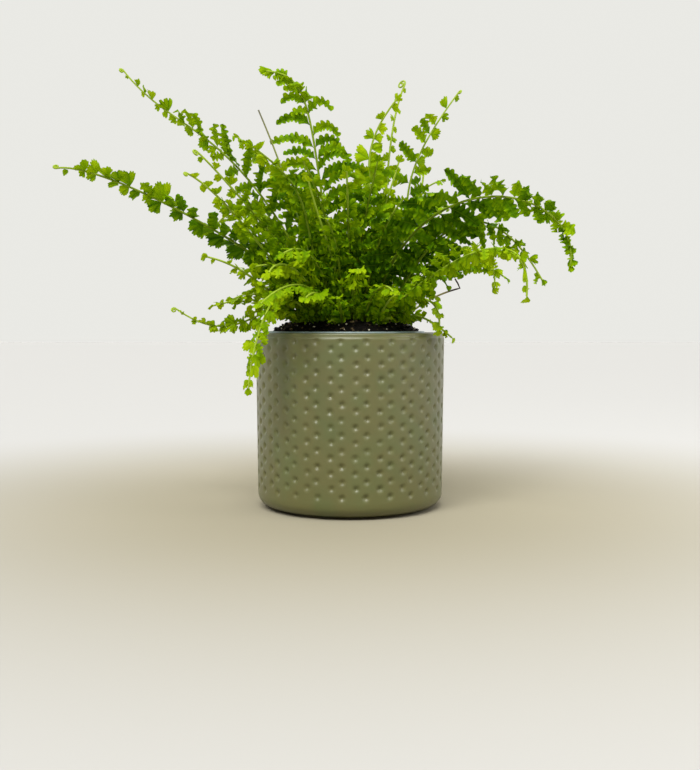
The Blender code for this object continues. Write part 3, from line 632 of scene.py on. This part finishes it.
# How a frond carries its pinnae: width against the solid's, depth of the cuts between lobes, share of the
# places across from those of the solid that hold one too, share that hold one more on top (both thin out
# towards the tip, and above 1 they do so later), length against the solid's at the foot and at the tip,
# the same again for those on the upper side, rise of their arch, droop, the length in mm up to which they
# are fans, how far those that point up slump over, how far those on the upper side lean back from the tip,
# and how far the last ones close up along the stalk
USUAL_HABIT = Habit(
    width=1.4,
    cut=0.62,
    bushy=1.0,
    fluff=0.6,
    longer=0.9,
    tip=0.95,
    upper=1.1,
    arch=0.0,
    droop=0.30,
    fan=8,
    slump=0.0,
    back=0.0,
    close=0.0,
)
SPARSE_HABIT = USUAL_HABIT._replace(
    width=1.7, cut=0.35, bushy=0.5, fluff=0, longer=1, tip=1, droop=0.12, fan=12
)
DENSE_HABIT = USUAL_HABIT._replace(cut=0.65, fluff=1.0, longer=1, tip=1, fan=9)
INNER_HABIT = SPARSE_HABIT._replace(width=1.6, cut=0.5, bushy=1, fluff=0.7, longer=1.2, upper=1.15, fan=9)
HABITS = {
    "left_long": SPARSE_HABIT._replace(cut=0.28, bushy=0.7, longer=0.75, tip=0.95, upper=1.25, fan=12.5),
    "left_tall": SPARSE_HABIT._replace(
        cut=0.50, bushy=0.35, longer=1.5, tip=0.6, upper=1.4, droop=0.04, fan=9
    ),
    "left_curl": INNER_HABIT,
    "left_second": INNER_HABIT,
    "left_behind": USUAL_HABIT._replace(longer=1.15, tip=1.5, upper=1.3, fan=9),
    "left_heart": USUAL_HABIT._replace(longer=1.1, tip=1.3, upper=1.2, fan=9),
    "left_skirt": USUAL_HABIT._replace(bushy=3, longer=1.2, tip=1.6),
    "rim_droop": DENSE_HABIT._replace(cut=0.5, bushy=3, fluff=3, longer=1.1, tip=2.0),
    "front_left": DENSE_HABIT._replace(bushy=2, tip=1.8, droop=0.5),
    "front_low_left": DENSE_HABIT._replace(bushy=2, fluff=3),
    "front_low_mid": DENSE_HABIT._replace(bushy=2, fluff=2),
    "young_left_1": DENSE_HABIT,
    "young_left_2": DENSE_HABIT,
    "young_left_4": DENSE_HABIT._replace(bushy=3, fluff=3, tip=2.0),
    "young_left_5": DENSE_HABIT,
    "young_rim": DENSE_HABIT._replace(bushy=3),
    "young_mid": SPARSE_HABIT._replace(bushy=0),
    "crown_tall": USUAL_HABIT._replace(
        cut=0.5,
        bushy=0.85,
        fluff=0,
        longer=1.9,
        tip=0.65,
        upper=1,
        arch=0.25,
        droop=0.2,
        fan=7.5,
        slump=2.0,
        close=1.2,
    ),
    "right_long": USUAL_HABIT._replace(
        width=1.6,
        cut=0.3,
        bushy=1.3,
        fluff=0,
        longer=1.15,
        tip=0.7,
        upper=1.15,
        droop=0.1,
        slump=0.5,
        back=1.25,
        close=1.4,
    ),
    "right_third": DENSE_HABIT._replace(bushy=1.5, fluff=0.7, longer=1.35, tip=1.1, upper=1.3, droop=0.5),
    "right_second": USUAL_HABIT._replace(width=1.35, cut=0.34, longer=1.15, upper=0.85, droop=0.25),
    "right_tall": SPARSE_HABIT._replace(bushy=0.3, longer=0.75),
    "right_bent": SPARSE_HABIT._replace(longer=1.25),
    "right_lean": SPARSE_HABIT._replace(cut=0.45, longer=1.35, tip=0.75, upper=1.3, fan=8, back=0.4),
    "right_wisp": SPARSE_HABIT._replace(width=1.3, bushy=1, longer=0.6, tip=0.8),
    "right_hook": DENSE_HABIT._replace(width=2.2, cut=0.4, bushy=3, longer=1.3, tip=1.9),
}


def dips(place, count):
    """0 at each of the count + 1 notches from place 0 to 1, and 1 on the round lobes between them."""
    return math.sqrt(abs(math.sin(math.pi * count * place)))


def strap_width(u):
    """Half width along a strap as a share of the widest, u = 0 at its stalk and 1 at its round end."""
    share = (0.25 + 0.75 * min(1.0, u / 0.12)) * (1 - 0.30 * u)
    return share * math.sqrt(max(0.0, 1 - max(0.0, (u - 0.72) / 0.28) ** 2))


def fan_shape(pinna, draw):
    """The grid of a round fan with a toothed edge, and a function for the places on it, which says how far
    each lies out, across and up, and how much lighter it is: lighter towards its lobes' ends, and painted
    light on the lobes and ruffles that tilt up."""
    spread = math.radians(draw.uniform(46, 66))
    teeth = max(5, round(pinna.length * 2 * spread / TOOTH_PITCH))
    lobes, cut, tooth = draw.choice((2, 3, 3, 4)), draw.uniform(0.10, 0.34), draw.uniform(0.06, 0.13)
    leans = [draw.uniform(-1, 1) for _ in range(lobes)]
    waves, start, ruffle = draw.uniform(5, 9), draw.uniform(0, 6), pinna.length * draw.uniform(0.03, 0.11)

    def shape(u, v):
        place = (v + 1) / 2
        swell = dips(place, lobes)
        edge = (1 - cut * (1 - swell)) * (1 - tooth * (1 - dips(place, teeth))) * (1 - 0.24 * v * v)
        away = pinna.length * 1.12 * u * (1 + (edge - 1) * u)
        lean = leans[min(lobes - 1, int(place * lobes))]
        wave = math.sin(start + waves * v)
        rise = pinna.length * u * (0.16 * lean * swell * u - 0.16 * abs(v)) + ruffle * wave * u * u
        # Painted light: the lobes and ruffle crests that tilt up, with lean and wave, are made lighter.
        gain = (0.42 * swell + 0.12 * lean + 0.12 * wave) * u
        return away * math.cos(spread * v), away * math.sin(spread * v), rise, gain

    return (3, teeth * 3), shape


def strap_shape(pinna, habit, draw):
    """The same for a strap with round lobes cut towards its rib, lighter towards its lobes' edges, with
    painted light on the lobes that tilt up.
    """
    lobes = max(4, round(pinna.length / LOBE_PITCH))
    cut, fold = min(0.85, habit.cut * draw.uniform(0.8, 1.3)), draw.uniform(-0.2, 0.55)
    sway, half = draw.uniform(-0.15, 0.2), pinna.half * habit.width
    bulges = [(draw.uniform(0.80, 1.15), draw.uniform(-1, 1)) for _ in range(2 * lobes)]

    def shape(u, v):
        bulge, lean = bulges[2 * min(lobes - 1, int(u * lobes)) + (v > 0)]
        swell = dips(u, lobes)
        edge = half * strap_width(u) * (1 - cut * abs(v) * (1 - swell * bulge)) * (1.12 if v > 0 else 0.88)
        rise = half * (0.75 * lean * swell * abs(v) ** 1.5 + fold * abs(v))
        out = pinna.length * (u + 0.10 * abs(v) * (1 - u))
        # Painted light: the lobes that tilt up with lean are made lighter, on top of the lobes' lighter
        # edges.
        return out, edge * v + pinna.length * sway * u * u, rise, (0.46 * swell + 0.14 * lean) * abs(v)

    return (lobes * 4, 4), shape


def posed(pinna, habit, t):
    """The pinna closed up towards the frond's tip, t = 1, or leaning back from it, and in its full length."""
    above = pinna.reach.z * 0.8 > pinna.across.z * 0.6
    lean = habit.close * t**4 - (habit.back * (1 - t**3) if above else 0)
    reach = (pinna.reach + pinna.across * lean).normalized()
    across = (pinna.across - reach * reach.dot(pinna.across)).normalized()
    size = (habit.longer + (habit.tip - habit.longer) * t * t) * (habit.upper if above else 1 / habit.upper)
    return pinna._replace(reach=reach, across=across, length=pinna.length * size)


def grow_pinna(bm, layers, pinna, up, tone, habit, draw):
    """One soft pinna as a fine ruffled grid, a small fan or a lobed strap, bent in an arc by its weight."""
    tone_layer, uv_layer = layers
    arch = habit.arch * draw.uniform(0.6, 1.4)
    sag = habit.droop * draw.uniform(0.2, 1.7)
    bend = 0.2 + 2 * arch + 2 * sag + habit.slump * max(0, pinna.reach.z) ** 2
    twist = draw.uniform(-0.9, 0.9)
    hinge = pinna.reach.cross(DOWN).normalized()
    sinking = hinge.cross(pinna.reach)
    normal = pinna.reach.cross(pinna.across)
    if normal.dot(up) < 0:
        normal = -normal
    if pinna.length < habit.fan * MM:
        (along, over), shape = fan_shape(pinna, draw)
    else:
        (along, over), shape = strap_shape(pinna, habit, draw)
    made = bmesh.ops.create_grid(bm, x_segments=along, y_segments=over, size=1)["verts"]
    spots = {}
    for vert in made:
        u, v = (vert.co.x + 1) / 2, vert.co.y
        x, y, rise, gain = shape(u, v)
        spots[vert] = (u * pinna.length / LOBE_PITCH, v)
        angle = bend * x / pinna.length - arch
        out, drop = math.sin(angle) + math.sin(arch), math.cos(arch) - math.cos(angle)
        rib = pinna.root + (pinna.reach * out + sinking * drop) * (pinna.length / bend)
        swing = twist * (u - 0.25)
        turn = Matrix.Rotation(angle, 3, hinge)
        side = turn @ (pinna.across * math.cos(swing) + normal * math.sin(swing))
        face = turn @ (normal * math.cos(swing) - pinna.across * math.sin(swing))
        vert.co = rib + side * y + face * rise
        # The shape's lighter share, with its painted light on lobes that tilt up, goes into the tone.
        vert[tone_layer] = tone + gain - 0.2
    for face in {face for vert in made for face in vert.link_faces}:
        for loop in face.loops:
            loop[uv_layer].uv = spots[loop.vert]


STALK_EVERY = 5
COIL_STEPS = 18
COIL_TURN = 28
COIL_TIGHTENS = 0.04


def add_tube(bm, path, radii, resolution):
    """A round tube with closed ends along the path, as wide as the radii say."""
    line = bpy.data.curves.new("tube", "CURVE")
    line.dimensions = "3D"
    line.bevel_depth = 1.0
    line.bevel_resolution = resolution
    line.use_fill_caps = True
    spline = line.splines.new("POLY")
    spline.points.add(len(path) - 1)
    for spot, place, radius in zip(spline.points, path, radii):
        spot.co = (*place, 1)
        spot.radius = radius
    holder = bpy.data.objects.new("tube", line)
    tube = bpy.data.meshes.new_from_object(holder)
    bm.from_mesh(tube)
    bpy.data.objects.remove(holder)
    bpy.data.curves.remove(line)
    bpy.data.meshes.remove(tube)


def grow_stalk(bm, stem, curl):
    """The stalk from its end in the soil to its tip, which curl rolls up in a coil, or down if below 0."""
    start = heading(stem.frond.azimuth, stem.frond.rise)
    path = [stem.curve[0] - start * BURIED] + stem.curve[::STALK_EVERY]
    if curl:
        forward, up = (path[-1] - path[-2]).normalized(), stem.ups[-1] * math.copysign(1, curl)
        tip, radius = path[-1], abs(curl) * MM
        for step in range(1, COIL_STEPS + 1):
            turn, size = step * math.radians(COIL_TURN), radius * (1 - COIL_TIGHTENS * step)
            path.append(tip + up * radius + forward * (size * math.sin(turn)) - up * (size * math.cos(turn)))
    steps = CURVE_STEPS / STALK_EVERY
    radii = [STALK_ROOT + (STALK_TIP - STALK_ROOT) * min(1.0, k / steps) for k in range(len(path))]
    add_tube(bm, path, radii, 1)


LEAF_TONES = (
    (0.20, (0.018, 0.066, 0.0003)),
    (0.50, (0.074, 0.188, 0.0006)),
    (0.85, (0.212, 0.372, 0.0015)),
    (1.30, (0.360, 0.510, 0.004)),
)
TONE_TOP = 1.5  # the ramp's end, as a ramp only takes values up to 1
RIB_GREEN = (0.13, 0.22, 0.01, 1)
SHEEN_TINT = (0.75, 1.0, 0.15, 1)
GLOW_TINT = (1.3, 1.15, 0.6, 1)  # of the light that comes through a leaf, against that thrown back

leaf, nodes, links = new_material("fern_leaf")
shader = nodes["Principled BSDF"]
tone_in = nodes.new("ShaderNodeAttribute")
tone_in.attribute_name = "tone"
blotched = math_on(nodes, links, "MULTIPLY_ADD", noise_on(nodes, links, 130, 3), 0.5, tone_in.outputs["Fac"])
scaled = math_on(nodes, links, "DIVIDE", blotched, TONE_TOP)
tint = ramp_on(nodes, links, scaled, [(place / TONE_TOP, colour) for place, colour in LEAF_TONES])
veins_in = nodes.new("ShaderNodeUVMap")
veins_in.uv_map = "pinna"
veins = nodes.new("ShaderNodeSeparateXYZ")
links.new(veins_in.outputs["UV"], veins.inputs[0])
rib_off = math_on(nodes, links, "ABSOLUTE", veins.outputs["Y"])
rib_share = ranged_on(nodes, links, rib_off, (0.02, 0.10), (0.45, 0))
veined = nodes.new("ShaderNodeMix")
veined.data_type = "RGBA"
veined.inputs["B"].default_value = RIB_GREEN
links.new(rib_share, veined.inputs["Factor"])
links.new(tint.outputs["Color"], veined.inputs["A"])
links.new(veined.outputs["Result"], shader.inputs["Base Color"])
shader.inputs["Roughness"].default_value = 0.55
shader.inputs["Specular IOR Level"].default_value = 0.12
shader.inputs["Specular Tint"].default_value = SHEEN_TINT
bump_on(nodes, links, noise_on(nodes, links, 700, 2), 0.3 * MM)
glow = nodes.new("ShaderNodeBsdfTranslucent")
glow_tint = nodes.new("ShaderNodeMix")
glow_tint.data_type = "RGBA"
glow_tint.blend_type = "MULTIPLY"
glow_tint.inputs["Factor"].default_value = 1.0
glow_tint.inputs["B"].default_value = GLOW_TINT
links.new(veined.outputs["Result"], glow_tint.inputs["A"])
links.new(glow_tint.outputs["Result"], glow.inputs["Color"])
through = nodes.new("ShaderNodeMixShader")
through.inputs["Fac"].default_value = 0.3
links.new(shader.outputs[0], through.inputs[1])
links.new(glow.outputs[0], through.inputs[2])
links.new(through.outputs[0], nodes["Material Output"].inputs["Surface"])

STALK_TONES = (
    (0.0, (0.022, 0.016, 0.006)),
    (0.2, (0.070, 0.100, 0.006)),
    (0.6, (0.180, 0.270, 0.012)),
    (1.0, (0.330, 0.450, 0.040)),
)
stalk, nodes, links = new_material("fern_stalk")
tone_in = nodes.new("ShaderNodeAttribute")
tone_in.attribute_name = "tone"
tone_out = tone_in.outputs["Fac"]
surface(nodes, links, tone_out, STALK_TONES, roughness=0.6, specular=0.06, grain=(900, 2), relief=0.2 * MM)

# Radius in mm of the coil in which a young tip is rolled up, below 0 where it rolls down
CURLED = {
    "left_tall": 1.7,
    "left_long": -1.8,
    "left_curl": 2.4,
    "left_second": 1.5,
    "left_low": 1.9,
    "right_tall": -3.4,
    "right_lean": 1.6,
}
SCALY = 13 * MM  # length of the stalk's foot that is dark with scales
LOW_SHARES = (0.45, 0.62, 0.79, 0.93)  # places of the low pinnae on the solid's bare stretch
SLOTS = {piece["node"]: piece["material_slot"] for piece in frame["record"]["subparts"]}


def clear_of_pot(pinna, droop):
    """Whether a pinna ends outside the pots' walls and above the soil."""
    end = pinna.root + pinna.reach * pinna.length
    end.z -= pinna.length * (LEAFLET_DROP + droop)
    return end.z > POT_HEIGHT + 5 * MM or end.xy.length > POT_RADIUS + 2 * MM


def low_pinnae(stem, draw):
    """Small pinnae low on the stalk, below the first of the solid, each with its upward side and tone."""
    low = [run_of(stem.curve) * BARE_SHARE * share for share in LOW_SHARES]
    places = spaced(stem.curve, low + [low[-1] + 2 * MM])
    for place, after in zip(places, places[1:]):
        along = (after - place).normalized()
        up, side = blade_frame(along, stem.frond.azimuth, stem.frond.face)
        for sign in (1, -1):
            out = (side * sign + up * draw.uniform(-0.6, 0.8)).normalized()
            reach = (out + along * draw.uniform(0.1, 0.7)).normalized()
            across = (along - reach * along.dot(reach)).normalized()
            size = draw.uniform(5, 11) * MM
            pinna = Pinna(place, reach, across, size, LEAFLET_HALF + LEAFLET_WIDENS * size)
            yield pinna, up, 0.45 * stem.frond.tone + draw.uniform(-0.1, 0.3)


def end_pinna(stem, draw):
    """The little fan that closes the frond."""
    ahead = (stem.points[-1] - stem.points[-2]).normalized()
    root = stem.points[-1] - ahead * MM
    fan = Pinna(root, ahead, stem.sides[-1], draw.uniform(4.5, 6.5) * MM, LEAFLET_HALF)
    return fan, stem.ups[-1], 0.45 + 0.5 * stem.frond.tone


def frond_pinnae(stem, corners, habit, fine):
    """The pinnae of the solid, and more across from them and on top, each with its upward side and tone;
    those on top get painted light, a tone 0.1 lighter.
    """
    frond, last = stem.frond, len(stem.points) - 1
    draw, found = random.Random(frond.name), []

    def sized(t, by, low, high):
        return frond.leaflet * MM * (leaflet_share(t, frond.taper) * by.uniform(low, high))

    for k in range(last):
        t = k / last
        for side in (1, -1):
            tone = 0.02 + 0.46 * frond.tone + 0.52 * t + fine.uniform(-0.18, 0.18)
            pinna = None
            if k % 2 == (side < 0):
                length, tilt = sized(t, draw, 0.9, 1.08), draw.uniform(-8, 12)
                if corners:
                    pinna = as_in_solid(stem, k, side, length, tilt, corners)
                else:
                    pinna = pinna_at(stem, k, side, length, math.radians(tilt))
            elif fine.random() < habit.bushy * (1 - t**5):
                length, lift = sized(t, fine, 0.65, 1.05), math.radians(fine.uniform(-35, 40))
                pinna = pinna_at(stem, k, side, length, lift)
            if pinna:
                found.append((posed(pinna, habit, t), stem.ups[k], tone))
            if fine.random() < habit.fluff * (1 - t**3):
                length, lift = sized(t, fine, 0.45, 0.8), math.radians(fine.uniform(45, 100))
                # Painted light: the pinnae on top are made 0.1 lighter.
                found.append((pinna_at(stem, k, side, length, lift), stem.sides[k], tone + 0.1))
    return found


# Young sprays between the fronds, which no solid of their own stands for
YOUNG_FRONDS = (
    Frond("young_right_1", 335, 45, 137, 29, 70, -30, 0.4, 0.4, 20, 13, 0.8, 0.5),
    Frond("young_right_2", 318, 50, 132, 32, 65, -40, 0.4, 0.4, 20, 12, 0.8, 0.5),
    Frond("young_right_3", 4, 46, 140, 29, 65, -20, 0.4, 0.4, 20, 14, 0.8, 0.3),
    Frond("young_right_4", 350, 45, 132, 33, 65, -40, 0.4, 0.4, 20, 12, 0.8, 0.4),
    Frond("young_left_1", 203, 70, 137, 33, 55, -40, 0.4, 0.4, 20, 15, 0.8, 0.9),
    Frond("young_left_2", 221, 74, 129, 35, 50, -50, 0.4, 0.4, 20, 15, 0.8, 1.0),
    Frond("young_left_3", 184, 66, 134, 34, 50, -35, 0.4, 0.4, 20, 15, 0.8, 0.5),
    Frond("young_left_4", 233, 84, 158, 30, 80, -55, 0.5, 0.3, 20, 17, 0.4, 1.35),
    Frond("young_left_5", 224, 84, 162, 22, 70, -15, 0.4, 0.4, 20, 16, 0.8, 0.9),
    Frond("young_front_1", 303, 50, 129, 36, 50, -20, 0.4, 0.4, 10, 9, 0.6, 1.0),
    Frond("young_front_2", 256, 51, 128, 38, 50, -20, 0.4, 0.4, 10, 8, 0.6, 0.7),
    Frond("young_rim", 330, 77, 117, 30, 42, -38, 0.5, 0.35, 20, 11, 0.7, 1.0),
    Frond("young_mid", 248, 69, 215, 12, 80, 58, 0.4, 0.3, 0, 6, 0.8, 1.4),
)


def grow_frond(frond):
    node = f"frond_{frond.name}"
    corners = solid_corners(node) if node in SLOTS else None
    stem = set_as_solid(frond, corners) if corners else grow_stem(frond)
    bm = bmesh.new()
    tone_layer = bm.verts.layers.float.new("tone")
    uv_layer = bm.loops.layers.uv.new("pinna")
    grow_stalk(bm, stem, CURLED.get(frond.name))
    full = (stem.curve[-1] - stem.curve[0]).length
    for vert in bm.verts:
        away = (vert.co - stem.curve[0]).length
        vert[tone_layer] = min(1.0, away / SCALY) * (0.25 + 0.5 * frond.tone + 0.45 * (away / full) ** 2)
    for face in bm.faces:
        face.material_index = 1
    habit, fine = HABITS.get(frond.name, USUAL_HABIT), random.Random(frond.name + " fine")
    found = frond_pinnae(stem, corners, habit, fine)
    found += low_pinnae(stem, fine)
    if frond.name not in CURLED:
        found.append(end_pinna(stem, fine))
    for pinna, up, tone in found:
        if clear_of_pot(pinna, habit.droop):
            grow_pinna(bm, (tone_layer, uv_layer), pinna, up, tone, habit, fine)
    piece = placed(f"fern_{frond.name}", bm)
    piece.data.materials.append(leaf)
    piece.data.materials.append(stalk)
    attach(piece, "root")
    if corners:
        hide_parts(node)
    SLOTS.get(node, "leaf_bright")


for frond in [*all_fronds(), *YOUNG_FRONDS]:
    grow_frond(frond)

# Bare stem and dry twig
# A stalk that has lost its pinnae stands up at the left of the middle, brown at its end. A withered stalk
# leans out over the right of the rim, its dead end bent back on itself.
BARE_STEM = Frond("bare_stem", 193, 63, 269, 14, 72, 66, 0.40, 0.37, 0, 0, 1, 0.5)
DRY_TWIG = Frond("dry_twig", 347, 76, 150, 29, 36, 14, 0.40, 0.40, 0, 0, 1, 0)
BARE_ROOT = 0.80 * MM
BARE_THINS = 0.28 * MM
BROWNING_FROM = (215 * MM, 268 * MM)  # heights between which the bare stem turns brown
DYING_FROM = (54 * MM, 72 * MM)  # and places to the right between which the twig does
BROWNING_TONES = ((0.0, (0.17, 0.27, 0.03)), (0.6, (0.22, 0.24, 0.03)), (1.0, (0.16, 0.15, 0.09)))
WITHERED_TONES = ((0.0, (0.25, 0.28, 0.06)), (0.55, (0.20, 0.16, 0.03)), (0.8, (0.03, 0.018, 0.012)))


def bare_stalk(frond, bend, material):
    path = stem_curve(frond)[::8] + bend
    path.insert(0, path[0] - heading(frond.azimuth, frond.rise) * BURIED)
    bm = bmesh.new()
    add_tube(bm, path, [BARE_ROOT - BARE_THINS * k / len(path) for k in range(len(path))], 2)
    piece = placed(f"fern_{frond.name}", bm)
    piece.data.materials.append(material)
    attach(piece, "root")
    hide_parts(frond.name)


browning, nodes, links = new_material("browning_stalk")
fading = ranged_on(nodes, links, place_on(nodes, links)["Z"], BROWNING_FROM, (0, 1))
surface(nodes, links, fading, BROWNING_TONES, roughness=0.55, specular=0.5, grain=(900, 2), relief=0.2 * MM)
withered, nodes, links = new_material("withered_stalk")
dying = ranged_on(nodes, links, place_on(nodes, links)["X"], DYING_FROM, (0, 1))
surface(nodes, links, dying, WITHERED_TONES, roughness=0.7, specular=0.5, grain=(1200, 3), relief=0.3 * MM)

twig_end = stem_curve(DRY_TWIG)[-1]
twig_bend = [twig_end + Vector((-1.4, 0, 3.2)) * MM, twig_end + Vector((-3.4, -0.4, 6.4)) * MM]
bare_stalk(BARE_STEM, [], browning)
bare_stalk(DRY_TWIG, twig_bend, withered)

# Floor, light and camera
# A plain pale floor, darker and warmer near the pot, under soft studio light: two wide suns from the left and
# from above in front, a weak disc lamp at the right, and pale surroundings. The camera stands a little above
# the rim and looks slightly down.
FLOOR_TONES = ((0.08, (0.33, 0.30, 0.22)), (0.55, (0.486, 0.482, 0.466)))
ROOM_WHITE = (1.0, 0.99, 0.96, 1)
BACKDROP = (0.82, 0.818, 0.78, 1)
LIT = Vector((0, 0, 0.15))  # what the lamps point at
SUN_WIDE = math.radians(24)
SENSOR = 36
FOCAL_PIXELS = 1012
PICTURE_PIXELS = 770  # the picture's longer side

bpy.ops.mesh.primitive_plane_add(size=12)
floor = bpy.context.object
floor.name = "floor"
pale, nodes, links = new_material("pale_floor")
shader = nodes["Principled BSDF"]
place = nodes.new("ShaderNodeTexCoord")
away = nodes.new("ShaderNodeVectorMath")
away.operation = "LENGTH"
links.new(place.outputs["Object"], away.inputs[0])
tint = ramp_on(nodes, links, away.outputs["Value"], FLOOR_TONES)
tint.color_ramp.interpolation = "EASE"
links.new(tint.outputs["Color"], shader.inputs["Base Color"])
shader.inputs["Roughness"].default_value = 0.8
shader.inputs["Specular IOR Level"].default_value = 0
floor.data.materials.append(pale)

world = bpy.data.worlds.new("pale_room")
world.use_nodes = True
nodes, links = world.node_tree.nodes, world.node_tree.links
towards = place_on(nodes, links, "Generated")
ceiling = ranged_on(nodes, links, towards["Z"], (0, 1), (0.12, 0.80))
behind = ranged_on(nodes, links, towards["Y"], (0.1, 0.6), (0, 0.8))
room = nodes["Background"]
room.inputs["Color"].default_value = ROOM_WHITE
links.new(math_on(nodes, links, "ADD", ceiling, behind), room.inputs["Strength"])
backdrop = nodes.new("ShaderNodeBackground")
backdrop.inputs["Color"].default_value = BACKDROP
seen = nodes.new("ShaderNodeLightPath")
either = nodes.new("ShaderNodeMixShader")
links.new(seen.outputs["Is Camera Ray"], either.inputs["Fac"])
links.new(room.outputs[0], either.inputs[1])
links.new(backdrop.outputs[0], either.inputs[2])
links.new(either.outputs[0], nodes["World Output"].inputs["Surface"])
bpy.context.scene.world = world


def lamp(name, kind, where, size, power):
    light = bpy.data.lights.new(name, kind)
    if kind == "SUN":
        light.angle = size
    else:
        light.shape, light.size = "DISK", size
    light.energy = power
    holder = bpy.data.objects.new(name, light)
    holder.location = where
    holder.rotation_euler = (LIT - Vector(where)).to_track_quat("-Z", "Y").to_euler()
    bpy.context.scene.collection.objects.link(holder)


lamp("key", "SUN", (-0.45, -0.62, 0.95), SUN_WIDE, 1.7)
lamp("top", "SUN", (0.0, -0.72, 1.15), SUN_WIDE, 1.9)
lamp("fill", "AREA", (0.9, -0.3, 0.5), 0.5, 3)

bpy.context.scene.view_settings.view_transform = "Standard"
view = bpy.data.cameras.new("camera")
view.lens = SENSOR * FOCAL_PIXELS / PICTURE_PIXELS
view.clip_start = 0.01
camera = bpy.data.objects.new("camera", view)
camera.location = (0, -0.702, 0.1265)
camera.rotation_euler = (math.radians(86.5), 0, 0)
bpy.context.scene.collection.objects.link(camera)
bpy.context.scene.camera = camera
